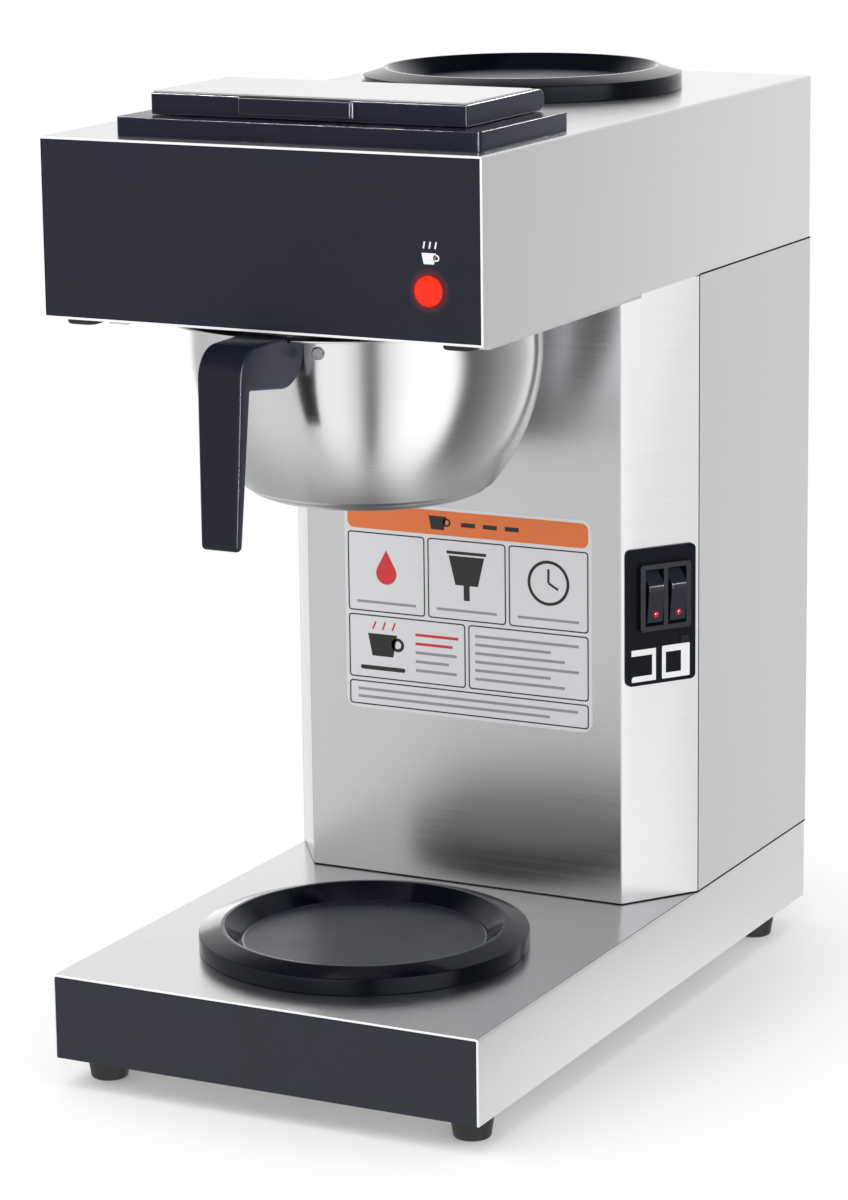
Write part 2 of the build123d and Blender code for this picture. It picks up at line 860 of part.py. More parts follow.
frame_z = head_top
frame_top_z = head_top + frame_height
frame_middle_y = base_front_y + frame_setback + frame_length / 2
frame_rear_y = base_front_y + frame_setback + frame_length
hinge_radius = lid_height / 2
hinge_y = frame_rear_y - hinge_radius - lid_gap
hinge_z = frame_top_z + lid_gap + hinge_radius
knuckle_radius = hinge_radius - lid_gap
knuckle_places = [lid_centre + side * knuckle_spacing / 2 for side in (-1, 1)]
flange_pocket_width = basin_outer_width + 2 * (basin_flange + panel_gap)
flange_pocket_length = basin_outer_length + 2 * (basin_flange + panel_gap)
with BuildPart() as lid_frame:
    with BuildSketch(Plane.XY.offset(frame_z)):
        with Locations((lid_centre, frame_middle_y)):
            RectangleRounded(frame_width, frame_length, frame_corner)
    extrude(amount=frame_height)
    with BuildSketch(Plane.XY.offset(frame_top_z)):
        with Locations((lid_centre, basin_centre_y)):
            RectangleRounded(
                basin_width + 2 * frame_rim_width,
                basin_length + 2 * frame_rim_width,
                basin_corner,
            )
    extrude(amount=frame_rim_height)
    with BuildSketch(Plane.XY.offset(frame_z)):
        with Locations((lid_centre, basin_centre_y)):
            RectangleRounded(basin_width, basin_length, basin_corner - sheet)
    extrude(amount=frame_height + frame_rim_height, mode=Mode.SUBTRACT)
    with BuildSketch(Plane.XY.offset(frame_z)):
        with Locations((lid_centre, basin_centre_y)):
            RectangleRounded(flange_pocket_width, flange_pocket_length, basin_corner)
    extrude(amount=sheet, mode=Mode.SUBTRACT)
    for knuckle_x in knuckle_places:
        with BuildSketch(Plane.YZ.offset(knuckle_x - knuckle_width / 2)):
            with Locations((hinge_y, hinge_z)):
                Circle(knuckle_radius)
            with Locations((hinge_y, (frame_top_z + hinge_z) / 2)):
                Rectangle(2 * knuckle_radius, hinge_z - frame_top_z)
        extrude(amount=knuckle_width)
        with BuildSketch(Plane.YZ.offset(knuckle_x - knuckle_width / 2)):
            with Locations((hinge_y, hinge_z)):
                Circle(hinge_pin_radius)
        extrude(amount=knuckle_width, mode=Mode.SUBTRACT)
save(lid_frame, "lid_frame")

with BuildPart() as lid_hinge_pins:
    for knuckle_x in knuckle_places:
        with BuildSketch(Plane.YZ.offset(knuckle_x - hinge_pin_length / 2)):
            with Locations((hinge_y, hinge_z)):
                Circle(hinge_pin_radius)
        extrude(amount=hinge_pin_length)
save(lid_hinge_pins, "lid_hinge_pins")

# Lid: a moulded cover with a full round rear edge that turns on the pins

lid_z = frame_top_z + lid_gap
lid_top_z = lid_z + lid_height
lid_front_y = base_front_y + lid_setback
lid_left_x = lid_centre - lid_width / 2
lid_right_x = lid_centre + lid_width / 2
notch_width = knuckle_width + 2 * knuckle_gap
notch_front_y = hinge_y - hinge_radius - knuckle_gap
lid_hollow_rear_y = notch_front_y - lid_wall
lip_x = lid_centre + lip_offset
with BuildPart() as lid_cover:
    with BuildSketch(Plane.YZ.offset(lid_left_x)):
        with Locations(((lid_front_y + hinge_y) / 2, hinge_z)):
            Rectangle(hinge_y - lid_front_y, lid_height)
        with Locations((hinge_y, hinge_z)):
            Circle(hinge_radius)
    extrude(amount=lid_width)
    front_corners = lid_cover.edges().filter_by(Axis.Z).group_by(Axis.Y)[0]
    fillet(front_corners, fold_radius)
    with BuildSketch(Plane.XY.offset(lid_top_z - lip_height)):
        with Locations((lip_x, lid_front_y)):
            Rectangle(lip_width, 2 * lip_depth)
    extrude(amount=lip_height)
    lip_edge = lid_cover.edges().filter_by(Axis.X).group_by(Axis.Y)[0].sort_by(Axis.Z)[-1]
    fillet(lip_edge, fold_radius)
    with BuildSketch(Plane.XY.offset(lid_z)):
        with Locations((lid_centre, (lid_front_y + lid_wall + lid_hollow_rear_y) / 2)):
            Rectangle(lid_width - 2 * lid_wall, lid_hollow_rear_y - lid_front_y - lid_wall)
    extrude(amount=lid_height - lid_wall, mode=Mode.SUBTRACT)
    with BuildSketch(Plane.XY.offset(lid_z)):
        with Locations(*[(x, hinge_y) for x in knuckle_places]):
            Rectangle(notch_width, 2 * (hinge_radius + knuckle_gap))
    extrude(amount=lid_height, mode=Mode.SUBTRACT)
    for knuckle_x in knuckle_places:
        with BuildSketch(Plane.YZ.offset(knuckle_x - hinge_pin_length / 2)):
            with Locations((hinge_y, hinge_z)):
                Circle(hinge_pin_radius + hinge_pin_clearance)
        extrude(amount=hinge_pin_length, mode=Mode.SUBTRACT)
save(lid_cover, "lid_cover")

lid_plate_front_y = lid_front_y + lid_plate_inset
lid_plate_rear_y = notch_front_y - lid_plate_inset
with BuildPart() as lid_top_plate:
    with BuildSketch(Plane.XY.offset(lid_top_z)):
        with Locations((lid_centre, (lid_plate_front_y + lid_plate_rear_y) / 2)):
            RectangleRounded(
                lid_width - 2 * lid_plate_inset,
                lid_plate_rear_y - lid_plate_front_y,
                fold_radius,
            )
    extrude(amount=lid_plate_thickness)
save(lid_top_plate, "lid_top_plate")

# Brew funnel: a spun bowl with a flat rim that hangs on the rails

bowl_floor_z = rim_z - bowl_depth
curve_z = rim_z - bowl_straight_height
curve_centre = (bowl_radius - bowl_curve_radius, curve_z)
corner_reach = bowl_curve_radius - bowl_corner_radius
corner_drop = bowl_floor_z + bowl_corner_radius - curve_z
corner_centre = (
    curve_centre[0] + sqrt(corner_reach**2 - corner_drop**2),
    bowl_floor_z + bowl_corner_radius,
)
curve_angle = degrees(atan2(-corner_drop, corner_centre[0] - curve_centre[0]))


def bowl_wall_plane(angle, height, radius=bowl_radius):
    """Plane on the bowl's wall, facing outwards. The angle is counted from the front."""
    out = Vector(sin(radians(angle)), -cos(radians(angle)), 0)
    return Plane(origin=Vector(0, funnel_y, height) + out * radius, z_dir=out)


bracket_low_z = rim_z - bracket_height
bracket_screw_z = rim_z - handle_screw_drop
inner_radius = bowl_radius - bowl_wall
bracket_radius = inner_radius - bracket_thickness
rivet_planes = [bowl_wall_plane(angle, bracket_screw_z) for angle in (-rivet_angle, rivet_angle)]
handle_screw_angles = (-handle_screw_angle, handle_screw_angle)
handle_screw_planes = [bowl_wall_plane(angle, bracket_screw_z) for angle in handle_screw_angles]

with BuildPart() as funnel_bowl:
    with BuildSketch(upright(funnel_y)):
        with BuildLine():
            Polyline(
                (drip_radius, bowl_floor_z - drip_length),
                (drip_radius, bowl_floor_z),
                (corner_centre[0], bowl_floor_z),
            )
            CenterArc(corner_centre, bowl_corner_radius, 270, 90 - curve_angle)
            CenterArc(curve_centre, bowl_curve_radius, -curve_angle, curve_angle)
            Polyline((bowl_radius, curve_z), (bowl_radius, rim_z), (rim_radius, rim_z))
            offset(amount=bowl_wall, side=Side.LEFT, kind=Kind.INTERSECTION)
        make_face()
    revolve(axis=turning_axis(funnel_y))
    for rivet_plane in rivet_planes:
        with BuildSketch(rivet_plane):
            Circle(rivet_radius)
        extrude(amount=-2 * bowl_wall, mode=Mode.SUBTRACT)
    for screw_plane in handle_screw_planes:
        with BuildSketch(screw_plane):
            Circle(screw_hole_radius)
        extrude(amount=-2 * bowl_wall, mode=Mode.SUBTRACT)
save(funnel_bowl, "funnel_bowl")

with BuildPart() as handle_bracket:
    with BuildSketch(upright(funnel_y)):
        with Locations((inner_radius - bracket_thickness / 2, bracket_low_z + bracket_height / 2)):
            Rectangle(bracket_thickness, bracket_height)
    revolve(axis=turning_axis(funnel_y).reverse(), revolution_arc=90 + bracket_half_angle)
    with BuildSketch(upright(funnel_y)):
        with Locations((inner_radius - bracket_thickness / 2, bracket_low_z + bracket_height / 2)):
            Rectangle(2 * bracket_thickness, 2 * bracket_height)
    revolve(
        axis=turning_axis(funnel_y).reverse(),
        revolution_arc=90 - bracket_half_angle,
        mode=Mode.SUBTRACT,
    )
    for hole_plane in rivet_planes:
        with BuildSketch(hole_plane):
            Circle(rivet_radius)
        extrude(amount=-(bowl_wall + 2 * bracket_thickness), mode=Mode.SUBTRACT)
    for hole_plane in handle_screw_planes:
        with BuildSketch(hole_plane):
            Circle(screw_hole_radius)
        extrude(amount=-(bowl_wall + 2 * bracket_thickness), mode=Mode.SUBTRACT)
save(handle_bracket, "handle_bracket")

make_headed(
    "handle_rivets",
    rivet_planes,
    rivet_radius,
    bowl_wall + bracket_thickness,
    rivet_head_radius,
    rivet_head_height,
    rivet_head_draft,
)

head_seat_radius = sqrt(bracket_radius**2 - screw_head_radius**2)
bracket_face_planes = [
    bowl_wall_plane(angle, bracket_screw_z, head_seat_radius) for angle in handle_screw_angles
]
make_screws(
    "handle_screws",
    [Plane(origin=face.origin, z_dir=-face.z_dir) for face in bracket_face_planes],
    bracket_thickness + bowl_wall + handle_screw_depth,
)

# Handle: an upright grip and a short arm that reaches under the rim to the bowl

arm_top_z = head_z - arm_head_gap
arm_low_z = arm_top_z - arm_height
arm_rim_z = rim_z - rail_lip_gap
handle_low_z = head_z - handle_bottom_drop
handle_front_y = base_front_y - handle_reach
grip_top_y = handle_front_y + handle_lean
rim_front_y = funnel_y - rim_radius
bowl_front_y = funnel_y - bowl_radius
arm_rear_y = bowl_front_y + bowl_wall
handle_corners = [
    (grip_top_y, arm_top_z, arm_outer_radius),
    (arm_rear_y, arm_low_z, min(arm_inner_radius, arm_rim_z - arm_low_z - arm_rear_flat)),
    (grip_top_y + grip_top_depth, arm_low_z, handle_edge_radius),
    (handle_front_y, handle_low_z, handle_edge_radius),
    (handle_front_y + grip_bottom_depth, handle_low_z, handle_edge_radius),
]
with BuildPart() as funnel_handle:
    with BuildSketch(Plane.YZ) as handle_side:
        Polygon(
            (handle_front_y, handle_low_z),
            (grip_top_y, arm_top_z),
            (rim_front_y - rim_stop_gap, arm_top_z),
            (rim_front_y - rim_stop_gap, arm_rim_z),
            (arm_rear_y, arm_rim_z),
            (arm_rear_y, arm_low_z),
            (grip_top_y + grip_top_depth, arm_low_z),
            (handle_front_y + grip_bottom_depth, handle_low_z),
            align=None,
        )
        for corner_y, corner_z, corner_radius in handle_corners:
            corner = handle_side.vertices().sort_by_distance((corner_y, corner_z, 0))[0]
            fillet(corner, corner_radius)
    extrude(amount=handle_width / 2, both=True)
    with BuildSketch(Plane.XZ.offset(-handle_front_y)):
        Polygon(
            (-handle_foot_width / 2, handle_low_z),
            (-handle_width / 2, arm_low_z),
            (-handle_width / 2, arm_top_z),
            (handle_width / 2, arm_top_z),
            (handle_width / 2, arm_low_z),
            (handle_foot_width / 2, handle_low_z),
            align=None,
        )
    extrude(amount=-(bowl_front_y + bowl_radius - handle_front_y), mode=Mode.INTERSECT)
    grip_edges = [
        edge
        for edge in funnel_handle.edges()
        if abs(edge.center().X) > handle_foot_width / 2 - handle_edge_radius
        and edge.center().Y < rim_front_y - handle_edge_radius
    ]
    fillet(grip_edges, handle_edge_radius)
    with BuildSketch(Plane.XY.offset(handle_low_z)):
        with Locations((0, funnel_y)):
            Circle(bowl_radius + handle_gap)
    extrude(amount=arm_top_z - handle_low_z, mode=Mode.SUBTRACT)
    for screw_plane in handle_screw_planes:
        with BuildSketch(screw_plane):
            Circle(screw_radius)
        extrude(amount=handle_screw_depth + bowl_wall, mode=Mode.SUBTRACT)
save(funnel_handle, "funnel_handle")

# Wire basket for the paper filter. Its wires have six sides.

basket_low_z = bowl_floor_z + bowl_wall + basket_wire_radius + rail_lip_gap
basket_top_z = basket_low_z + basket_height


def basket_point(radius, angle, height):
    """Point on the basket at a radius and angle from the funnel's axis."""
    x = radius * cos(radians(angle))
    y = funnel_y + radius * sin(radians(angle))
    return Vector(x, y, height)


with BuildPart() as filter_basket:
    for ring_radius, ring_z in ((basket_base_radius, basket_low_z), (basket_top_radius, basket_top_z)):
        with BuildSketch(upright(funnel_y)):
            with Locations((ring_radius, ring_z)):
                RegularPolygon(basket_wire_radius, 6)
        revolve(axis=turning_axis(funnel_y))
    for number in range(basket_wires):
        wire_angle = 360 * (number + 0.5) / basket_wires
        wire_foot = basket_point(basket_base_radius, wire_angle, basket_low_z)
        wire_run = basket_point(basket_top_radius, wire_angle, basket_top_z) - wire_foot
        with BuildSketch(Plane(origin=wire_foot, z_dir=wire_run)):
            RegularPolygon(basket_rib_radius, 6)
        extrude(amount=wire_run.length)
save(filter_basket, "filter_basket")

# Water tank in the pillar, on its stand

tank_y = base_front_y + tank_setback
tank_z = base_top + tank_stand_height
tank_top_z = head_z - tank_head_gap
tank_height = tank_top_z - tank_z
flange_radius = tank_radius + tank_flange
gasket_z = tank_top_z
cover_z = gasket_z + gasket_thickness
cover_top_z = cover_z + cover_thickness
bolt_circle = tank_radius + tank_flange / 2
cold_x = drain_x
cold_y = base_front_y + cold_port_setback
hot_y = base_front_y + hot_port_setback
heater_y = tank_y + heater_offset
heater_places = [(side * heater_leg_spacing / 2, heater_y) for side in (-1, 1)]

with BuildPart() as water_tank:
    with BuildSketch(upright(tank_y)):
        Polygon(
            (0, tank_z),
            (tank_radius, tank_z),
            (tank_radius, tank_top_z - tank_flange_thickness),
            (flange_radius, tank_top_z - tank_flange_thickness),
            (flange_radius, tank_top_z),
            (tank_radius - tank_wall, tank_top_z),
            (tank_radius - tank_wall, tank_z + tank_wall),
            (0, tank_z + tank_wall),
            align=None,
        )
    revolve(axis=turning_axis(tank_y))
    with BuildSketch(Plane.XY.offset(tank_top_z)):
        with Locations((0, tank_y)):
            with PolarLocations(bolt_circle, cover_bolts):
                Circle(screw_radius)
    extrude(amount=-tank_flange_thickness, mode=Mode.SUBTRACT)
save(water_tank, "water_tank")

with BuildPart() as tank_gasket:
    with BuildSketch(Plane.XY.offset(gasket_z)):
        with Locations((0, tank_y)):
            Circle(flange_radius)
            Circle(tank_radius - tank_wall, mode=Mode.SUBTRACT)
            with PolarLocations(bolt_circle, cover_bolts):
                Circle(screw_hole_radius, mode=Mode.SUBTRACT)
    extrude(amount=gasket_thickness)
save(tank_gasket, "tank_gasket")

dip_length = tank_height - dip_end_gap
with BuildPart() as tank_cover:
    with BuildSketch(Plane.XY.offset(cover_z)):
        with Locations((0, tank_y)):
            Circle(flange_radius)
            with PolarLocations(bolt_circle, cover_bolts):
                Circle(screw_hole_radius, mode=Mode.SUBTRACT)
        with Locations(*heater_places):
            Circle(heater_tube_radius, mode=Mode.SUBTRACT)
        with Locations((thermostat_offset, heater_y)):
            Circle(probe_radius, mode=Mode.SUBTRACT)
    extrude(amount=cover_thickness)
    with BuildSketch(Plane.XY.offset(cover_top_z)):
        with Locations((cold_x, cold_y), (0, hot_y)):
            Circle(port_radius)
    extrude(amount=port_length)
    with BuildSketch(Plane.XY.offset(cover_z)):
        with Locations((cold_x, cold_y)):
            Circle(port_radius)
    extrude(amount=-dip_length)
    with BuildSketch(Plane.XY.offset(cover_top_z + port_length)):
        with Locations((cold_x, cold_y), (0, hot_y)):
            Circle(port_radius - port_wall)
    extrude(amount=-(port_length + cover_thickness + dip_length), mode=Mode.SUBTRACT)
save(tank_cover, "tank_cover")

tank_bolt_planes = [
    Plane.XY.offset(cover_top_z).move(
        Location(
            (
                bolt_circle * cos(radians(360 * number / cover_bolts)),
                tank_y + bolt_circle * sin(radians(360 * number / cover_bolts)),
                0,
            )
        )
    )
    for number in range(cover_bolts)
]
make_screws(
    "tank_cover_screws",
    tank_bolt_planes,
    cover_thickness + gasket_thickness + tank_flange_thickness,
)

with BuildPart() as tank_stand:
    with BuildSketch(Plane.XZ.offset(-(tank_y - stand_width / 2))):
        with BuildLine():
            Polyline(
                (-(stand_leg_spacing / 2 + stand_foot), base_top),
                (-stand_leg_spacing / 2, base_top),
                (-stand_leg_spacing / 2, tank_z - tank_wall),
                (stand_leg_spacing / 2, tank_z - tank_wall),
                (stand_leg_spacing / 2, base_top),
                (stand_leg_spacing / 2 + stand_foot, base_top),
            )
            offset(amount=tank_wall, side=Side.LEFT, kind=Kind.INTERSECTION)
        make_face()
    extrude(amount=-stand_width)
save(tank_stand, "tank_stand")

with BuildPart() as tank_heater:
    heater_low_z = tank_top_z - heater_length
    with BuildLine() as heater_path:
        Line(
            (-heater_leg_spacing / 2, heater_y, cover_top_z + heater_terminal_length),
            (-heater_leg_spacing / 2, heater_y, heater_low_z),
        )
        ThreePointArc(
            (-heater_leg_spacing / 2, heater_y, heater_low_z),
            (0, heater_y, heater_low_z - heater_leg_spacing / 2),
            (heater_leg_spacing / 2, heater_y, heater_low_z),
        )
        Line(
            (heater_leg_spacing / 2, heater_y, heater_low_z),
            (heater_leg_spacing / 2, heater_y, cover_top_z + heater_terminal_length),
        )
    with BuildSketch(heater_path.line ^ 0):
        Circle(heater_tube_radius)
    sweep()
save(tank_heater, "tank_heater")

with BuildPart() as tank_thermostat:
    with BuildSketch(Plane.XY.offset(cover_top_z)):
        with Locations((thermostat_offset, heater_y)):
            RectangleRounded(thermostat_width, thermostat_width, fold_radius)
    extrude(amount=thermostat_height)
    with BuildSketch(Plane.XY.offset(cover_top_z)):
        with Locations((thermostat_offset, heater_y)):
            Circle(probe_radius)
    extrude(amount=-probe_length)
save(tank_thermostat, "tank_thermostat")

# Water tubes: each slides over a port at both ends and is bent twice


def make_tube(name, start, end, run_z):
    """Bent tube between two upright ports. start and end are (x, y, shoulder height, direction)."""
    start_x, start_y, start_z, start_up = start
    end_x, end_y, end_z, end_up = end
    with BuildPart() as tube:
        with BuildLine() as path:
            FilletPolyline(
                (start_x, start_y, start_z),
                (start_x, start_y, run_z),
                (end_x, end_y, run_z),
                (end_x, end_y, end_z),
                radius=tube_bend_radius,
            )
        with BuildSketch(path.line ^ 0):
            Circle(water_tube_radius)
        sweep()
        for x, y, z, up in (start, end):
            with BuildSketch(Plane.XY.offset(z)):
                with Locations((x, y)):
                    Circle(port_radius + tube_clearance)
            extrude(amount=up * (port_length + tube_clearance), mode=Mode.SUBTRACT)
    save(tube, name)


drain_shoulder_z = basin_floor_z - sheet
cold_run_z = drain_end_z - tube_bend_radius
hot_run_z = neck_top_z + port_length + tube_bend_radius
make_tube(
    "cold_water_tube",
    (drain_x, basin_centre_y, drain_shoulder_z, -1),
    (cold_x, cold_y, cover_top_z, 1),
    cold_run_z - tube_straight,
)
make_tube(
    "hot_water_tube",
    (0, hot_y, cover_top_z, 1),
    (0, funnel_y, neck_top_z, 1),
    hot_run_z + tube_straight,
)

# Switches: a plate on the right chamfer, one housing and two rockers side by side

bezel_front = bezel_thickness + switch_plate_thickness
well_half = hypot(rocker_face_height + rocker_half_length * tan(radians(rocker_tilt)), rocker_half_length)
well_height = 2 * (well_half + rocker_swing_gap)
well_width = rocker_width + 2 * rocker_side_gap
pivot_rise = bezel_front - rocker_pivot_depth
back_swing = hypot(rocker_back_depth, rocker_back_half)
well_floor = pivot_rise - back_swing - rocker_swing_gap
rocker_shifts = {"left": -rocker_pitch / 2, "right": rocker_pitch / 2}

with BuildPart() as switch_plate:
    with BuildSketch(plate_plane):
        RectangleRounded(switch_plate_width, switch_plate_height, switch_plate_corner)
        with Locations((bezel_shift, bezel_rise)):
            Rectangle(housing_hole_width, housing_hole_height, mode=Mode.SUBTRACT)
    extrude(amount=switch_plate_thickness)
save(switch_plate, "switch_plate")

with BuildPart() as switch_housing:
    with BuildSketch(bezel_plane.offset(switch_plate_thickness)):
        RectangleRounded(bezel_width, bezel_height, bezel_corner)
    extrude(amount=bezel_thickness)
    with BuildSketch(bezel_plane.offset(switch_plate_thickness)):
        Rectangle(housing_width, housing_height)
    extrude(amount=-(housing_depth + switch_plate_thickness))
    for shift in rocker_shifts.values():
        with BuildSketch(bezel_plane.offset(bezel_front)):
            with Locations((shift, 0)):
                Rectangle(well_width, well_height)
        extrude(amount=well_floor - bezel_front, mode=Mode.SUBTRACT)
        pivot_plane = Plane(
            origin=bezel_middle + chamfer_out * pivot_rise + chamfer_along * shift,
            x_dir=chamfer_out,
            z_dir=chamfer_along,
        )
        with BuildSketch(pivot_plane):
            Circle(pivot_pin_radius + pivot_pin_clearance)
        extrude(amount=well_width / 2 + pivot_pin_length, both=True, mode=Mode.SUBTRACT)
save(switch_housing, "switch_housing")

with BuildPart() as switch_blades:
    with BuildSketch(bezel_plane.offset(-housing_depth)):
        for shift in rocker_shifts.values():
            for blade_rise in (-blade_pitch, 0, blade_pitch):
                with Locations((shift, blade_rise)):
                    Rectangle(blade_width, blade_thickness)
    extrude(amount=-blade_length)
save(switch_blades, "switch_blades")

rest_tilt = radians(rocker_tilt)
rocker_front = chamfer_out * cos(rest_tilt) + Vector(0, 0, 1) * sin(rest_tilt)
end_rise = rocker_face_height + rocker_half_length * tan(rest_tilt)


def make_rocker(side, shift):
    """One rocker with its pivot pins and red jewel, its upper half pressed in."""
    pivot = bezel_middle + chamfer_out * pivot_rise + chamfer_along * shift
    rocker_plane = Plane(origin=pivot, x_dir=rocker_front, z_dir=-chamfer_along)
    lower_face = Plane(
        origin=pivot + rocker_front * rocker_face_height,
        x_dir=chamfer_along,
        z_dir=rocker_front * cos(rest_tilt) + rocker_plane.y_dir * sin(rest_tilt),
    )
    jewel_plane = lower_face.offset(-rocker_lens_height / 2)
    with BuildPart() as rocker:
        with BuildSketch(rocker_plane):
            Polygon(
                (rocker_face_height, 0),
                (end_rise, rocker_half_length),
                (0, well_half),
                (-rocker_back_depth, rocker_back_half),
                (-rocker_back_depth, -rocker_back_half),
                (0, -well_half),
                (end_rise, -rocker_half_length),
                align=None,
            )
        extrude(amount=rocker_width / 2, both=True)
        with BuildSketch(rocker_plane):
            Circle(pivot_pin_radius)
        extrude(amount=well_width / 2 + pivot_pin_length - pivot_pin_clearance, both=True)
        with BuildSketch(jewel_plane):
            with Locations((0, -rocker_lens_offset)):
                Circle(rocker_lens_radius)
        extrude(amount=rocker_lens_height, mode=Mode.SUBTRACT)
    save(rocker, f"rocker_{side}")

    with BuildPart() as jewel:
        with BuildSketch(jewel_plane):
            with Locations((0, -rocker_lens_offset)):
                Circle(rocker_lens_radius)
        extrude(amount=rocker_lens_height)
    save(jewel, f"rocker_{side}_jewel")


for rocker_side, rocker_shift in rocker_shifts.items():
    make_rocker(rocker_side, rocker_shift)

# Brewing light

light_centre = (light_x, head_front_y, light_z)
light_plane = Plane(origin=light_centre, x_dir=(1, 0, 0), z_dir=(0, -1, 0))
light_section = Plane(origin=light_centre, x_dir=(1, 0, 0), z_dir=(0, 0, -1))
dome_radius = (light_radius**2 + light_dome**2) / (2 * light_dome)
dome_angle = degrees(acos(light_radius / dome_radius))
with BuildPart() as light_lens:
    with BuildSketch(light_section):
        with BuildLine():
            Polyline((0, light_flange + light_dome), (0, 0), (light_radius, 0), (light_radius, light_flange))
            CenterArc(
                (0, light_flange + light_dome - dome_radius),
                dome_radius,
                dome_angle,
                90 - dome_angle,
            )
        make_face()
    revolve(axis=Axis(light_centre, (0, -1, 0)))
save(light_lens, "light_lens")

with BuildPart() as light_body:
    with BuildSketch(light_plane):
        Circle(light_body_radius)
    extrude(amount=-light_body_length)
save(light_body, "light_body")

# Cord inlet bushing, terminal block and the screws of the back panel

gland_plane = Plane(origin=(gland_x, back_y, gland_z), z_dir=(0, 1, 0))
with BuildPart() as cord_inlet:
    with BuildSketch(gland_plane):
        Circle(gland_flange_radius)
    extrude(amount=gland_flange)
    with BuildSketch(gland_plane):
        Circle(gland_neck_radius)
    extrude(amount=-gland_neck_length)
    with BuildSketch(gland_plane.offset(gland_flange)):
        Circle(gland_bore_radius)
    extrude(amount=-(gland_flange + gland_neck_length), mode=Mode.SUBTRACT)
save(cord_inlet, "cord_inlet")

terminal_y = back_y - sheet - terminal_rear_gap - terminal_depth / 2
terminal_x = -(half_width - sheet - terminal_inset - terminal_length / 2)
with BuildPart() as terminal_block:
    with BuildSketch(Plane.XY.offset(base_top)):
        with Locations((terminal_x, terminal_y)):
            Rectangle(terminal_length, terminal_depth)
    extrude(amount=terminal_height)
    with BuildSketch(Plane.XY.offset(base_top + terminal_height)):
        with Locations((terminal_x, terminal_y)):
            with GridLocations(
                terminal_well_pitch, terminal_row_pitch, terminal_wells, terminal_well_rows
            ):
                Rectangle(terminal_well_width, terminal_well_length)
    extrude(amount=-terminal_well_drop, mode=Mode.SUBTRACT)
save(terminal_block, "terminal_block")

back_screw_planes = [
    Plane(origin=(x, back_y, z), z_dir=(0, 1, 0)) for x, z in back_screw_places
]
make_screws("back_panel_screws", back_screw_planes)
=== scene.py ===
# %% [markdown]
# # A commercial coffee maker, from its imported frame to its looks
# The frame holds every solid of the machine in metres: X to the right, Y to the back, Z up.
# Each step below dresses one group of pieces. A piece keeps the place of the solid that it stands
# for, and rides on the same body, so the lid still tips up and the brew funnel still slides out.

# %% Load the frame
import json
import math

import bmesh
import bpy
from mathutils import Matrix, Vector

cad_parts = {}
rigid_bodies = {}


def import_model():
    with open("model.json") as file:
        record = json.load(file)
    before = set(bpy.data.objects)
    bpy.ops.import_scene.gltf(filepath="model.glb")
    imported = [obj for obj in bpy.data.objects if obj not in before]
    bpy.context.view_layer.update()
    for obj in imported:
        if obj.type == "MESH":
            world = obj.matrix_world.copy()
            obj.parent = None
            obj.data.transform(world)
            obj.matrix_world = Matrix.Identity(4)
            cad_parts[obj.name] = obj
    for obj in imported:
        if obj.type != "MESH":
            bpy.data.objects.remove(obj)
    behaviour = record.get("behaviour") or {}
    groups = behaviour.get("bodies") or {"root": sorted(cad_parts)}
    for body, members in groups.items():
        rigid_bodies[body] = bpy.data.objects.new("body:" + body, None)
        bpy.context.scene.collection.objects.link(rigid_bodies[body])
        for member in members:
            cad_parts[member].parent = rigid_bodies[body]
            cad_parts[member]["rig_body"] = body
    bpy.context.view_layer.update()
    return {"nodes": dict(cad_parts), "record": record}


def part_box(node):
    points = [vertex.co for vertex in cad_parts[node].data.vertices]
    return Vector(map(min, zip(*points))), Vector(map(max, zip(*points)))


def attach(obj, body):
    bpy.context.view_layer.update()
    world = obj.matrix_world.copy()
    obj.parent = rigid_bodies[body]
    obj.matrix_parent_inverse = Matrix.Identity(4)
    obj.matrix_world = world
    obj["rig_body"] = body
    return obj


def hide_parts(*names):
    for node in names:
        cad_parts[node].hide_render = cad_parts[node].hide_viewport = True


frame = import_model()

scene = bpy.context.scene
print("nodes in the frame:", len(frame["nodes"]))

# %% [markdown]
# ## Small tools
# The sizes of sheet-metal goods are read in millimetres, so one short helper turns them into metres.
# The place of a piece is read from the solid that it stands for, never typed twice.

# %% Millimetres and places
MM = 0.001


def mm(*values):
    """Millimetres as metres."""
    return tuple(value * MM for value in values)


def middle(node):
    """Centre of a CAD node's box."""
    low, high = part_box(node)
    return (low + high) / 2


def back_middle(node, inset=0.0):
    """Centre of a CAD node's box, but on its back face or at an inset from it."""
    place = middle(node)
    place.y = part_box(node)[1].y - inset
    return place


def circle(radius, steps):
    """Points (x, y) on a circle about the origin."""
    angles = [math.tau * step / steps for step in range(steps)]
    return [(radius * math.cos(angle), radius * math.sin(angle)) for angle in angles]


counter_z = 0.0
base_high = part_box("base_shell")[1]
head_low, head_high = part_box("head_shell")
funnel_axis = middle("funnel_bowl")
print("head from", round(head_low.z, 3), "to", round(head_high.z, 3))

# %% [markdown]
# ## Camera
# The photograph was taken from the right, a little above the machine, with a long lens.
# A long lens stands far back, so upright edges stay almost parallel.
# The place and angles below were solved from the corners of the case.

# %% Camera
camera_place = Vector((0.8041, -1.5821, 0.5969))
camera_azimuth = math.radians(27.125)
camera_elevation = math.radians(12.879)
camera_roll = math.radians(-0.718)

away = Vector(
    (
        math.sin(camera_azimuth) * math.cos(camera_elevation),
        -math.cos(camera_azimuth) * math.cos(camera_elevation),
        math.sin(camera_elevation),
    )
)
level = Vector((math.cos(camera_azimuth), math.sin(camera_azimuth), 0))
right = level * math.cos(camera_roll) + away.cross(level) * math.sin(camera_roll)
up = away.cross(right)

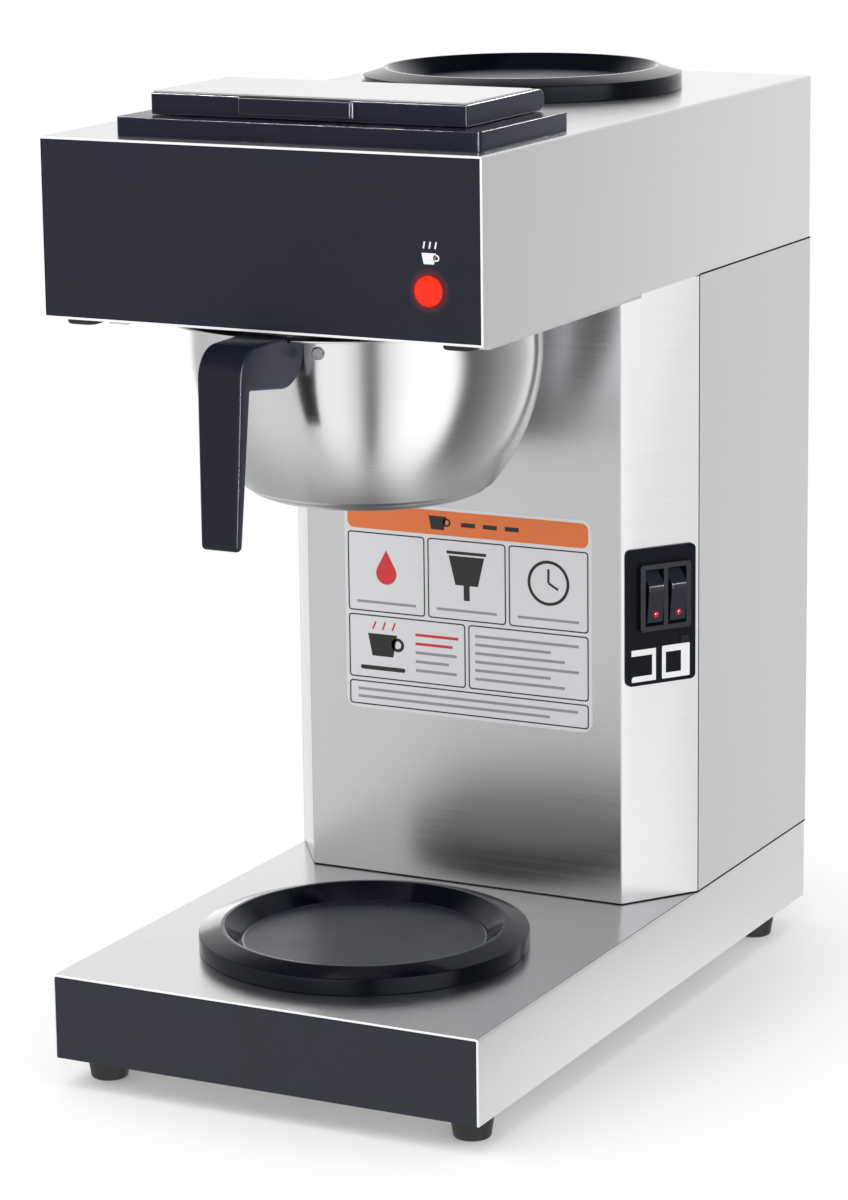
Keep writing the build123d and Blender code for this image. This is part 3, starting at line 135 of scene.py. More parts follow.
camera_data = bpy.data.cameras.new("camera")
camera_data.sensor_fit = "VERTICAL"
camera_data.sensor_height = 36
camera_data.lens = 121.56
camera = bpy.data.objects.new("camera", camera_data)
scene.collection.objects.link(camera)
camera.matrix_world = Matrix.Translation(camera_place) @ Matrix((right, up, away)).transposed().to_4x4()
scene.camera = camera
print("camera stands", round(camera_place.length, 2), "m away")

# %% [markdown]
# ## Nodes, wired by short calls
# A finish is a small network of nodes. Written out in full it would hide what it does, so each kind
# of node that comes back often gets a helper: a sum, a noise, a change of range, a bump.

# %% Node helpers


def wire(tree, value, socket):
    """Link a socket to another, or give it a plain value."""
    if isinstance(value, bpy.types.NodeSocket):
        tree.links.new(value, socket)
    else:
        socket.default_value = value


def connect(tree, node, inputs):
    """Wire several inputs of a node, each by its name or its number."""
    for key, value in inputs.items():
        wire(tree, value, node.inputs[key])


def add(tree, kind, inputs=None, **properties):
    """A new node with its properties set and its inputs wired."""
    node = tree.nodes.new(kind)
    for name, value in properties.items():
        setattr(node, name, value)
    connect(tree, node, inputs or {})
    return node


def calculate(tree, operation, *values):
    """One Math node."""
    return add(tree, "ShaderNodeMath", dict(enumerate(values)), operation=operation).outputs[0]


def spread(tree, value, low, high, to_low, to_high, smooth=False):
    """One Map Range node."""
    names = ("Value", "From Min", "From Max", "To Min", "To Max")
    inputs = dict(zip(names, (value, low, high, to_low, to_high)))
    kind = "SMOOTHSTEP" if smooth else "LINEAR"
    return add(tree, "ShaderNodeMapRange", inputs, interpolation_type=kind).outputs["Result"]


def blend_colours(tree, factor, first, second):
    """One Mix node for colours."""
    ends = [end if isinstance(end, bpy.types.NodeSocket) else (*end, 1) for end in (first, second)]
    return add(tree, "ShaderNodeMix", {0: factor, 6: ends[0], 7: ends[1]}, data_type="RGBA").outputs[2]


def mix_values(tree, factor, first, second):
    """One Mix node for plain numbers."""
    return add(tree, "ShaderNodeMix", {0: factor, 2: first, 3: second}).outputs[0]


def mix_shaders(tree, factor, first, second):
    """One Mix Shader node."""
    return add(tree, "ShaderNodeMixShader", {0: factor, 1: first, 2: second}).outputs[0]


print("helpers for one node each:", ", ".join(("calculate", "spread", "blend_colours", "mix_values")))

# %% Helpers for a finish


def object_place(tree, scale=(1, 1, 1)):
    """Object coordinates, scaled by one Mapping node."""
    place = add(tree, "ShaderNodeTexCoord").outputs["Object"]
    return add(tree, "ShaderNodeMapping", {"Vector": place, "Scale": scale}).outputs["Vector"]


def split(tree, vector):
    """The X, Y and Z of a vector."""
    return add(tree, "ShaderNodeSeparateXYZ", {0: vector}).outputs


def noise(tree, place, scale, detail):
    """One Noise Texture, around 0.5."""
    inputs = {"Vector": place, "Scale": scale, "Detail": detail, "Roughness": 0.6}
    return add(tree, "ShaderNodeTexNoise", inputs).outputs["Fac"]


def bump(tree, shader, height, distance, strength):
    """Raise the surface by a height pattern."""
    inputs = {"Strength": strength, "Distance": distance, "Height": height}
    connect(tree, shader, {"Normal": add(tree, "ShaderNodeBump", inputs).outputs["Normal"]})


def shades(colour, low, high):
    """A colour made darker and lighter."""
    return tuple(part * low for part in colour), tuple(min(1.0, part * high) for part in colour)


def new_finish(name, colour, metallic, roughness):
    """A material with one shader. Returns the material, its tree and its shader."""
    material = bpy.data.materials.new(name)
    material.use_nodes = True
    tree = material.node_tree
    shader = tree.nodes["Principled BSDF"]
    connect(tree, shader, {"Base Color": (*colour, 1), "Metallic": metallic, "Roughness": roughness})
    return material, tree, shader


finishes = {}
print("finishes so far:", len(finishes))

# %% [markdown]
# ## Brushed stainless steel
# The case is folded from sheet that was brushed with a belt before it was cut, so each face has long
# fine scratches in one direction. A scratch widens the reflection across it: on the upright faces the
# scratches run level, and what the steel mirrors is smeared up and down, while its sides stay clear.
# Painted scratches would look flat. Here an anisotropic shader does the smearing, and a noise that is
# stretched along the brushing changes the colour and the roughness a little.

# %% Brushed steel


def smear_across(tree, shader, **tangent):
    """Smear the reflection, with the tangent's parts given."""
    direction = add(tree, "ShaderNodeCombineXYZ", tangent).outputs[0]
    connect(tree, shader, {"Anisotropic": 0.6, "Tangent": direction})


def brushed_steel(name, colour, roughness, contrast):
    """Steel brushed level on upright faces and from side to side on faces that look up."""
    material, tree, shader = new_finish(name, colour, 1.0, roughness)
    normal = add(tree, "ShaderNodeNewGeometry").outputs["Normal"]
    looks_up = calculate(tree, "GREATER_THAN", calculate(tree, "ABSOLUTE", split(tree, normal)["Z"]), 0.7)
    upright = noise(tree, object_place(tree, (5, 5, 1500)), 1.0, 4)
    flat = noise(tree, object_place(tree, (5, 1500, 1500)), 1.0, 4)
    streaks = mix_values(tree, looks_up, upright, flat)
    clouds = noise(tree, object_place(tree), 9, 2)
    shade = calculate(
        tree,
        "ADD",
        spread(tree, streaks, 0.25, 0.75, 0.5 - contrast, 0.5 + contrast),
        spread(tree, clouds, 0.3, 0.7, -contrast / 2, contrast / 2),
    )
    tint = blend_colours(tree, shade, *shades(colour, 0.5, 1.5))
    rough = spread(tree, streaks, 0.2, 0.8, roughness - 0.03, roughness + 0.05)
    connect(tree, shader, {"Base Color": tint, "Roughness": rough})
    smear_across(tree, shader, Y=looks_up, Z=calculate(tree, "SUBTRACT", 1.0, looks_up))
    bump(tree, shader, streaks, 0.000004, 0.1)
    return material


finishes["brushed_steel"] = brushed_steel("brushed_steel", (0.64, 0.645, 0.655), 0.23, contrast=0.008)
print("made", finishes["brushed_steel"].name)

# %% [markdown]
# ## Polished steel
# The brew funnel was spun over a form and polished while it turned, so its marks run round it and
# smear what it mirrors up and down. The basin and the small pressed parts are bright too. The marks of
# a turned piece follow its height, so a noise that changes fast along Z draws them. The bowl gets a finish
# of its own: painted shade darkens its colour towards its floor, and its roughness rises there.

# %% Polished steel


def polished_steel(name, colour, roughness, painted_shade=None):
    """Steel with faint rings. Painted shade, given as (low, high, share), darkens its colour below the height
    high, and its roughness rises there.
    """
    material, tree, shader = new_finish(name, colour, 1.0, roughness)
    rings = noise(tree, object_place(tree, (2, 2, 1600)), 1.0, 4)
    smears = noise(tree, object_place(tree, (1, 1, 0.25)), 40, 3)
    rough = calculate(
        tree,
        "ADD",
        spread(tree, rings, 0.3, 0.7, roughness - 0.02, roughness + 0.03),
        spread(tree, smears, 0.35, 0.7, -0.02, 0.04),
    )
    tint = blend_colours(tree, spread(tree, rings, 0.3, 0.7, 0.0, 1.0), *shades(colour, 0.98, 1.02))
    # Painted shade: below the height high the colour is darkened to a share of itself.
    if painted_shade:
        low, high, share = painted_shade
        unshaded = spread(tree, split(tree, object_place(tree))["Z"], low, high, 0, 1, smooth=True)
        tint = blend_colours(tree, unshaded, tuple(part * share for part in colour), tint)
        rough = calculate(tree, "ADD", rough, spread(tree, unshaded, 0, 1, 0.2, 0))
    connect(tree, shader, {"Base Color": tint, "Roughness": rough})
    smear_across(tree, shader, Z=1.0)
    bump(tree, shader, rings, 0.000003, 0.08)
    return material


finishes["polished_steel"] = polished_steel("polished_steel", (0.7, 0.705, 0.715), 0.17)
bowl_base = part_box("funnel_bowl")[0].z
# The bowl's colour is darkened towards its floor by painted shade; its roughness rises there too.
finishes["bowl_steel"] = polished_steel(
    "bowl_steel", (0.7, 0.705, 0.715), 0.15, painted_shade=(bowl_base + 12 * MM, bowl_base + 52 * MM, 0.75)
)
print("made", finishes["polished_steel"].name, "and", finishes["bowl_steel"].name)

# %% [markdown]
# ## Coats, plastic and rubber
# The two front panels are powder coated: the coat has a very fine orange peel that breaks up the
# reflection. The warmers have a harder, glossier enamel. Moulded plastic has a soft grain, and rubber is
# dull. All of them are one recipe with other numbers: a colour that varies a little, a grain that
# lifts the surface, and a roughness that is not the same everywhere.

# %% Coats


def coat(name, colour, roughness, grain, lift, specular=0.5, mottle=0.12):
    """A dark or pale coat with a grain of the given scale (1/m) and lift (m)."""
    material, tree, shader = new_finish(name, colour, 0.0, roughness)
    place = object_place(tree)
    patches = noise(tree, place, 25, 3)
    tint = blend_colours(tree, patches, *shades(colour, 1 - mottle, 1 + mottle))
    rough = spread(tree, patches, 0.3, 0.7, roughness - 0.04, roughness + 0.05)
    connect(tree, shader, {"Base Color": tint, "Roughness": rough, "Specular IOR Level": specular})
    bump(tree, shader, noise(tree, place, grain, 2), lift, 0.5)
    return material


# Colour, roughness, grain (1/m) and lift (m), then specular and mottle where they differ.
coats = {
    "head_panel_coat": ((0.008, 0.0105, 0.023), 0.4, 1400, 0.00003, 0.3),
    "base_panel_coat": ((0.017, 0.021, 0.03), 0.42, 1400, 0.00003, 0.35),
    "warmer_coat": ((0.0012, 0.0021, 0.0052), 0.13, 900, 0.000003, 0.3),
    "warmer_plate_coat": ((0.0075, 0.0108, 0.0205), 0.3, 1600, 0.00002, 0.32),
    "black_plastic": ((0.0032, 0.005, 0.0105), 0.3, 2200, 0.00001, 0.24),
    "lid_plastic": ((0.003, 0.0045, 0.0098), 0.26, 1800, 0.00001, 0.18),
    "lid_edge": ((0.006, 0.009, 0.018), 0.12, 1800, 0.000002, 1.0),
    "switch_plastic": ((0.0045, 0.0052, 0.0078), 0.24, 2500, 0.00001, 0.2),
    "switch_bezel": ((0.0075, 0.0082, 0.0108), 0.45, 2500, 0.00002, 0.13),
    "switch_plate_coat": ((0.0035, 0.005, 0.0105), 0.45, 2200, 0.00002, 0.12),
    "black_rubber": ((0.016, 0.0165, 0.018), 0.6, 1500, 0.00006),
    # Near-white coat for the case shells' edges: a painted highlight.
    "bright_edge": ((0.9, 0.905, 0.915), 0.35, 900, 0.000002, 0.5, 0.01),
    # Black for the strips in the seams of the case: painted shade.
    "seam_black": ((0.008, 0.009, 0.011), 0.6, 1500, 0.00001, 0.1),
    "tube_rubber": ((0.55, 0.54, 0.5), 0.5, 900, 0.00003, 0.5, 0.05),
    "terminal_plastic": ((0.62, 0.6, 0.55), 0.5, 1500, 0.00003, 0.5, 0.05),
}
for name, numbers in coats.items():
    finishes[name] = coat(name, *numbers)
for name in ("warmer_coat", "warmer_plate_coat"):
    tree = finishes[name].node_tree
    connect(tree, tree.nodes["Principled BSDF"], {"Specular Tint": (0.78, 0.88, 1, 1)})
print("coats:", len(finishes))

# %% [markdown]
# ## Small metals and the red lenses
# Screws are zinc plated, the heater is dull steel, and small fittings are brass. The round lens in the
# front shows that water is being heated, and it glows. Light comes out of its body, so the shader
# gets an emission on top of a glossy red plastic. Each rocker has a small red jewel of the same kind.

# %% Small metals and lenses


def plain_metal(name, colour, roughness, scale):
    """Plated metal with a soft cloud in its roughness and colour."""
    material, tree, shader = new_finish(name, colour, 1.0, roughness)
    clouds = noise(tree, object_place(tree), scale, 4)
    tint = blend_colours(tree, clouds, *shades(colour, 0.85, 1))
    rough = spread(tree, clouds, 0.3, 0.7, roughness - 0.07, roughness + 0.1)
    connect(tree, shader, {"Base Color": tint, "Roughness": rough})
    bump(tree, shader, clouds, 0.00002, 0.3)
    return material


def glowing_lens(name, colour, glow, strength, specular):
    """Glossy red plastic with light behind it."""
    material, tree, shader = new_finish(name, colour, 0.0, 0.14)
    connect(tree, shader, {"Emission Color": (*glow, 1), "Emission Strength": strength})
    cells = noise(tree, object_place(tree), 700, 1)
    tint = blend_colours(tree, cells, *shades(colour, 0.8, 1))
    connect(tree, shader, {"Base Color": tint, "Specular IOR Level": specular})
    bump(tree, shader, cells, 0.00004, 0.3)
    return material


# Colour, roughness and scale of the clouds.
metals = {
    "zinc_screw": ((0.68, 0.68, 0.67), 0.28, 500),
    "heater_steel": ((0.36, 0.35, 0.34), 0.42, 300),
    "rivet_steel": ((0.34, 0.34, 0.35), 0.22, 500),
    "brass": ((0.72, 0.53, 0.25), 0.3, 400),
}
# Colour, colour of the glow, its strength and specular.
lenses = {
    "red_lens": ((0.3, 0.003, 0.002), (1.0, 0.0095, 0.003), 3.6, 0.12),
    "red_jewel": ((0.13, 0.002, 0.001), (1.0, 0.02, 0.004), 0.1, 0.6),
    "red_flange": ((0.12, 0.004, 0.004), (1.0, 0.12, 0.12), 0.09, 0.2),
}
finishes.update({name: plain_metal(name, *numbers) for name, numbers in metals.items()})
finishes.update({name: glowing_lens(name, *numbers) for name, numbers in lenses.items()})
print("finishes:", len(finishes))

# %% [markdown]
# ## Every solid gets its finish
# The record lists a material slot for each CAD node. Nodes whose shape is right stay as they are and
# only take the finish. Nodes that show closely are replaced further down.

# %% Finish the CAD nodes
slot_of = {row["node"]: row["material_slot"] for row in frame["record"]["subparts"]}
finish_of = dict(slot_of, handle_rivets="rivet_steel")
for node_name, node_object in frame["nodes"].items():
    node_object.data.materials.clear()
    node_object.data.materials.append(finishes[finish_of[node_name]])
print("dressed nodes:", len(slot_of))

# %% [markdown]
# ## From a mesh to a piece
# A finished piece sits at the origin with its place in its mesh, as a CAD node does. It takes the body
# of the node that it stands for, and a finish. Smooth shading with sharp edges by angle keeps flat
# faces flat and round ones round.

# %% Pieces


def make_piece(name, mesh, finish, like, replaced=(), sharp=35):
    """Turn a mesh into a piece that rides with the body of the CAD node named like."""
    mesh.materials.clear()
    mesh.materials.append(finishes[finish])
    mesh.shade_smooth()
    mesh.set_sharp_from_angle(angle=math.radians(sharp))
    piece = bpy.data.objects.new(name, mesh)
    scene.collection.objects.link(piece)
    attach(piece, frame["nodes"][like]["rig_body"])
    if replaced:
        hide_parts(*replaced)
    return piece


def mesh_from(work, name):
    """Write a bmesh into a new mesh."""
    bmesh.ops.recalc_face_normals(work, faces=work.faces)
    mesh = bpy.data.meshes.new(name)
    work.to_mesh(mesh)
    work.free()
    return mesh


def bridge(work, first, second):
    """Faces between two closed rings of as many vertices."""
    for number in range(len(first)):
        after = (number + 1) % len(first)
        work.faces.new((first[number], first[after], second[after], second[number]))


def soften(piece, width, segments=2, angle=40):
    """Small rounds on the edges of a piece, wherever two faces meet at more than an angle."""
    modifier = piece.modifiers.new("edge_rounds", "BEVEL")
    modifier.width = width
    modifier.segments = segments
    modifier.limit_method = "ANGLE"
    modifier.angle_limit = math.radians(angle)
    modifier.harden_normals = True
    modifier.miter_outer = "MITER_ARC"
    return piece


print("meshes before the first piece:", len(bpy.data.meshes))

# %% [markdown]
# ## Folded sheet and mouldings with real edges
# No edge of a real product is perfectly sharp: a cut sheet has a tiny burr round and a moulding has a
# radius, and both catch a line of light. A CAD mesh is loose triangles, which a bevel can't round, so a
# copy of it is merged, its flat faces are joined, and the copy gets the rounds. On the two case shells
# the line of light is painted: their rounds and front sheet edges take a near-white coat.

# %% Rounded copies of CAD nodes


def rounded_copy(node, width, finish=None, segments=2, edge_finish=None):
    """A clean copy of a CAD node, which replaces it. Its edges are rounded by a width in millimetres."""
    work = bmesh.new()
    work.from_mesh(frame["nodes"][node].data)
    bmesh.ops.remove_doubles(work, verts=work.verts, dist=0.000001)
    bmesh.ops.dissolve_limit(work, angle_limit=math.radians(0.5), verts=work.verts, edges=work.edges)
    for layer in list(work.loops.layers.uv):
        work.loops.layers.uv.remove(layer)
    mesh = mesh_from(work, node + "_shaped")
    for name in ("custom_normal", "sharp_face", "sharp_edge"):
        if name in mesh.attributes:
            mesh.attributes.remove(mesh.attributes[name])
    piece = make_piece(node + "_shaped", mesh, finish or slot_of[node], node, [node])
    soften(piece, width * MM, segments)
    if edge_finish:
        mesh.materials.append(finishes[edge_finish])
        piece.modifiers["edge_rounds"].material = 1
    # The shells' front-facing sheet edges take the near-white coat too, a painted highlight.
    if edge_finish == "bright_edge":
        front_y = min(vertex.co.y for vertex in mesh.vertices)
        for face in mesh.polygons:
            if face.normal.y < -0.9 and face.center.y < front_y + 0.5 * MM:
                face.material_index = 1


# Width in millimetres, then finish, segments and finish of the edges where they differ.
edge_rounds = {
    "base_front_panel": (0.3,),
    "head_front_panel": (0.3,),
    "pillar_side_left": (0.3,),
    "pillar_side_right": (0.3,),
    "head_bumpers": (0.9,),
    "switch_plate": (0.35,),
    # The shells' edge rounds take the near-white coat: a painted highlight along their edges.
    "base_shell": (0.6, None, 2, "bright_edge"),
    "head_shell": (0.6, None, 2, "bright_edge"),
    "pillar_front_cover": (0.3,),
    "lid_frame": (0.6, "lid_plastic", 3, "lid_edge"),
    "lid_cover": (0.6, "lid_plastic", 3, "lid_edge"),
    "lid_top_plate": (0.25, "brushed_steel"),
    "switch_housing": (0.3, "switch_bezel"),
}
for node_name, numbers in edge_rounds.items():
    rounded_copy(node_name, *numbers)
print("rounded copies:", len(edge_rounds))

# %% [markdown]
# ## Geometry Nodes for what follows a rule
# A turned piece is its half section and a number of steps, and nothing else. A small tree lays a grid
# with one row for each point of the section and one column for each step, and bends it round the
# axis. The doubled seam and the points on the axis are merged, so the shell is closed.

# %% Tree helpers


def new_tree(name, inputs):
    """A geometry tree with named inputs. Returns the tree, its input node and its output node."""
    tree = bpy.data.node_groups.new(name, "GeometryNodeTree")
    tree.interface.new_socket("Geometry", in_out="INPUT", socket_type="NodeSocketGeometry")
    for label, kind in inputs.items():
        tree.interface.new_socket(label, in_out="INPUT", socket_type="NodeSocket" + kind)
    tree.interface.new_socket("Geometry", in_out="OUTPUT", socket_type="NodeSocketGeometry")
    return tree, add(tree, "NodeGroupInput"), add(tree, "NodeGroupOutput")


def end_tree(tree, geometry, given, output):
    """Close a tree: real geometry instead of instances, then the finish."""
    real = add(tree, "GeometryNodeRealizeInstances", {0: geometry}).outputs[0]
    dressed = add(tree, "GeometryNodeSetMaterial", {"Geometry": real, "Material": given.outputs["Finish"]})
    wire(tree, dressed.outputs[0], output.inputs[0])


def grow(seed, tree, settings):
    """Run a tree on a seed mesh and keep what comes out as a plain mesh."""
    holder = bpy.data.objects.new("seed", seed)
    scene.collection.objects.link(holder)
    modifier = holder.modifiers.new("tree", "NODES")
    modifier.node_group = tree
    for item in tree.interface.items_tree:
        if item.in_out == "INPUT" and item.name in settings:
            modifier[item.identifier] = settings[item.name]
    graph = bpy.context.evaluated_depsgraph_get()
    mesh = bpy.data.meshes.new_from_object(holder.evaluated_get(graph))
    holder.modifiers.remove(modifier)
    bpy.data.objects.remove(holder)
    return mesh


print("node groups so far:", len(bpy.data.node_groups))

# %% Turning tree


def turning_tree():
    """Bend a grid of section points round an upright axis."""
    kinds = {"Steps": "Int", "Axis X": "Float", "Axis Y": "Float", "Finish": "Material"}
    tree, given, output = new_tree("turned_piece", kinds)
    section, steps = given.outputs["Geometry"], given.outputs["Steps"]
    count = add(tree, "GeometryNodeAttributeDomainSize", {0: section}).outputs["Point Count"]
    columns = calculate(tree, "ADD", steps, 1)
    grid = add(tree, "GeometryNodeMeshGrid", {"Vertices X": columns, "Vertices Y": count})
    index = add(tree, "GeometryNodeInputIndex").outputs[0]
    column = calculate(tree, "FLOOR", calculate(tree, "DIVIDE", calculate(tree, "ADD", index, 0.5), count))
    row = calculate(tree, "SUBTRACT", index, calculate(tree, "MULTIPLY", column, count))
    angle = calculate(tree, "DIVIDE", calculate(tree, "MULTIPLY", column, math.tau), steps)
    position = add(tree, "GeometryNodeInputPosition").outputs[0]
    asked = {"Geometry": section, "Value": position, "Index": row}
    sampled = add(tree, "GeometryNodeSampleIndex", asked, data_type="FLOAT_VECTOR").outputs["Value"]
    point = split(tree, sampled)
    place = {"Z": point["Z"]}
    for axis, operation in (("X", "COSINE"), ("Y", "SINE")):
        reach = calculate(tree, "MULTIPLY", point["X"], calculate(tree, operation, angle))
        place[axis] = calculate(tree, "ADD", reach, given.outputs["Axis " + axis])
    bent_place = add(tree, "ShaderNodeCombineXYZ", place).outputs[0]
    moved = {"Geometry": grid.outputs["Mesh"], "Position": bent_place}
    bent = add(tree, "GeometryNodeSetPosition", moved).outputs[0]
    merged = add(tree, "GeometryNodeMergeByDistance", {"Geometry": bent, "Distance": 0.000005})
    end_tree(tree, merged.outputs[0], given, output)
    return tree


turned_tree = turning_tree()
print("tree:", turned_tree.name, "with", len(turned_tree.nodes), "nodes")

# %% [markdown]
# A half section is a list of corners, each with its own round. The round is drawn as an arc that
# touches both sides, the way a turner would blend them.

# %% Rounded half sections


def round_corners(corners, closed=True, steps=6):
    """Points of an outline whose corners (x, y, radius) are rounded."""
    points = []
    count = len(corners)
    for number, (x, y, radius) in enumerate(corners):
        here = Vector((x, y))
        before = Vector(corners[number - 1][:2]) - here
        after = Vector(corners[(number + 1) % count][:2]) - here
        if radius == 0 or (not closed and number in (0, count - 1)):
            points.append(here)
            continue
        half = before.angle(after) / 2
        reach = radius / math.tan(half)
        start = here + before.normalized() * reach
        end = here + after.normalized() * reach
        centre = here + (before.normalized() + after.normalized()).normalized() * radius / math.sin(half)
        first, last = start - centre, end - centre
        sweep = first.angle(last)
        weight = math.sin(sweep)
        for step in range(steps + 1):
            share = step / steps
            arm = first * math.sin((1 - share) * sweep) / weight + last * math.sin(share * sweep) / weight
            points.append(centre + arm)
    return points


def turn(name, corners, axis, base_z, finish, like, steps=96, closed=True, sharp=40):
    """Turn a half section of corners (radius, height, round) in millimetres about an upright axis."""
    points = round_corners(corners, closed)
    if closed:
        points.append(points[0])
    seed = bpy.data.meshes.new("section")
    seed.from_pydata([(p.x * MM, 0, p.y * MM + base_z) for p in points], [], [])
    settings = {"Steps": steps, "Axis X": axis.x, "Axis Y": axis.y, "Finish": finishes[finish]}
    return make_piece(name, grow(seed, turned_tree, settings), finish, like, [like], sharp)


print("points of a rounded square:", len(round_corners([(0, 0, 1), (9, 0, 1), (9, 9, 1), (0, 9, 1)])))

# %% [markdown]
# ## The two warmers
# A warmer is a pressed and enamelled ring with a plate in its middle, where the decanter stands. Its
# outside has a short upright skirt and a slope up to a narrow crest, and inside it slopes down to the
# plate. A thin line of light shows where the plate's rounded edge meets the ring.

# %% Warmers
warmer_ring_corners = [
    (51.3, 0.0, 0.0), (73.0, 0.0, 0.5), (73.0, 7.4, 0.6), (63.3, 10.2, 0.5),
    (61.7, 10.2, 0.5), (54.7, 3.2, 0.5), (54.7, 2.2, 0.0), (51.3, 2.2, 0.0),
]
warmer_plate_corners = [
    (0.0, -11.8, 0.0), (3.0, -11.8, 0.3), (3.0, 2.2, 0.0),
    (53.2, 2.2, 0.0), (53.2, 3.4, 0.0), (0.0, 3.4, 0.0),
]
plate_edge_corners = [(53.2, 2.2, 0.0), (54.5, 2.2, 0.3), (54.5, 3.4, 0.6), (53.2, 3.4, 0.0)]
for warmer in ("lower_warmer", "upper_warmer"):
    ring, plate = warmer + "_ring", warmer + "_plate"
    axis, base_z = middle(ring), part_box(ring)[0].z
    turn(ring + "_turned", warmer_ring_corners, axis, base_z, "warmer_coat", ring, 128)
    turn(plate + "_turned", warmer_plate_corners, axis, base_z, "warmer_plate_coat", plate, closed=False)
    turn(plate + "_edge", plate_edge_corners, axis, base_z, "lid_edge", plate)
print("warmers turned about y =", round(middle("lower_warmer_ring").y, 4))

# %% [markdown]
# ## The brew funnel
# The bowl is spun from one disc: a flat rim that hangs on the rails, a short straight wall, a long
# curve, a tight corner and a flat floor with a short spout. Its half section is a closed loop, out along
# the outside and back along the inside, so the wall has its real thickness of one millimetre.

# %% Brew funnel bowl


def arc_points(centre, radius, start, end, steps):
    """Points on an arc, angles in degrees."""
    angles = [math.radians(start + (end - start) * step / steps) for step in range(steps + 1)]
    return [(centre[0] + radius * math.cos(a), centre[1] + radius * math.sin(a), 0) for a in angles]


bowl_low, bowl_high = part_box("funnel_bowl")
rim_height = (bowl_high.z - bowl_low.z) / MM
floor_height = 6.0
wall = 1.0
wall_radius = 76
curve_radius = 96
straight_wall = 13
curve_centre = (wall_radius - curve_radius, rim_height - wall - straight_wall)
corner_radius = 5.0
corner_height = floor_height + corner_radius
corner_reach = math.sqrt((curve_radius - corner_radius) ** 2 - (corner_height - curve_centre[1]) ** 2)
corner_centre = (curve_centre[0] + corner_reach, corner_height)
curve_end = math.degrees(math.atan2(corner_centre[1] - curve_centre[1], corner_centre[0] - curve_centre[0]))
cone_low = corner_centre[0] - 1.5
cone_height = 4.4
cone_end = math.degrees(math.asin((floor_height + cone_height - curve_centre[1]) / curve_radius))
rim_under = rim_height - wall
rim_radius = 88.0
bowl_corners = (
    [(4.0, 0.0, 0.3), (5.0, 0.0, 0.3), (5.0, floor_height, 1.0), (cone_low, floor_height, 0.6)]
    + arc_points(curve_centre, curve_radius, cone_end, 0, 24)
    + [(wall_radius, rim_under, 0.8), (rim_radius, rim_under, 0.45)]
    + [(rim_radius, rim_height, 0.45), (wall_radius - wall, rim_height, 1.6)]
    + arc_points(curve_centre, curve_radius - wall, 0, curve_end, 24)
    + arc_points(corner_centre, corner_radius - wall, curve_end, -90, 10)[1:]
    + [(4.0, floor_height + wall, 0.8)]
)
bowl = "funnel_bowl"
turn(bowl + "_turned", bowl_corners, funnel_axis, bowl_low.z, "bowl_steel", bowl, steps=160, sharp=16)
print("bowl height", round(rim_height, 1), "mm")

# %% [markdown]
# ## The funnel's handle
# The handle is one moulding: an upright grip and a short arm that reaches under the rim. Its edges are
# softly rounded so that it is kind to the hand. A bevel of that size would fold over itself at the
# thin foot, so the outline is laid down in layers instead. Each layer towards a side is drawn in a
# little, along a quarter of an ellipse, and the layers are skinned together.

# %% Handle
handle_low, handle_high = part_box("funnel_handle")
front, foot, top = handle_low.y / MM, handle_low.z / MM, handle_high.z / MM
wall_y, rim_gap_y = -138.6, -151.5
arm_top = 330.9
grip_height = 313.0 - foot
half_width_at_foot, half_width_gain = 8.5, 1.75
bowl_axis_y, bowl_touch_radius = -63.0, 76.15
handle_corners = [
    (front + 3.6, top, 13.5), (front, foot, 2.2), (front + 4.8, foot, 2.2), (front + 11.0, arm_top - 14.7, 1.0),
    (wall_y, arm_top - 20.3, 14.5), (wall_y, arm_top, 0.6), (rim_gap_y, arm_top, 0.4), (rim_gap_y, top, 0.8),
]
outline = round_corners(handle_corners, steps=10)
round_across, round_in = 1.7, 1.5
layers = 6


def ease(value, low, high):
    """0 below low, 1 above high, smooth between them."""
    share = min(1.0, max(0.0, (value - low) / (high - low)))
    return share * share * (3 - 2 * share)


def edge_softness(y, z):
    """How much of the full round an outline point gets: little where the arm meets the bowl."""
    near_wall = ease(y, wall_y - 9, wall_y - 1)
    near_rim = ease(y, rim_gap_y - 14.5, rim_gap_y - 2.5) * ease(z, arm_top - 12.9, arm_top - 2.9)
    return 1 - 0.85 * max(near_wall, near_rim)


def handle_layer(inset_share, side, turn_share):
    """One layer of the handle as points: the outline drawn in, at its distance from the middle."""
    count = len(outline)
    ring = []
    for number, point in enumerate(outline):
        along = (outline[(number + 1) % count] - outline[number - 1]).normalized()
        soft = edge_softness(point.x, point.y)
        moved = point + Vector((-along.y, along.x)) * round_in * inset_share * soft
        share = min(1.0, max(0.0, (point.y - foot) / grip_height))
        x = side * (half_width_at_foot + half_width_gain * share - round_across * turn_share * soft)
        bowl_y = bowl_axis_y - math.sqrt(bowl_touch_radius**2 - x**2)
        y = bowl_y if moved.x > bowl_y - 0.1 else moved.x
        ring.append(mm(x, y, moved.y))
    return ring


print("handle outline points:", len(outline))

# %% Skin of the handle
work = bmesh.new()
rings = []
for side in (-1, 1):
    for layer in range(layers + 1) if side < 0 else range(layers, -1, -1):
        angle = math.pi / 2 * layer / layers
        points = handle_layer(1 - math.sin(angle), side, 1 - math.cos(angle))
        rings.append([work.verts.new(point) for point in points])
for first, second in zip(rings, rings[1:]):
    bridge(work, first, second)
for ring in (rings[0], rings[-1]):
    edges = [work.edges.get((ring[n - 1], ring[n])) for n in range(len(ring))]
    bmesh.ops.triangle_fill(work, use_beauty=True, edges=edges)
handle_mesh = mesh_from(work, "handle")
make_piece("funnel_handle_moulded", handle_mesh, "black_plastic", "funnel_handle", ["funnel_handle"], 55)
print("handle layers:", len(rings))

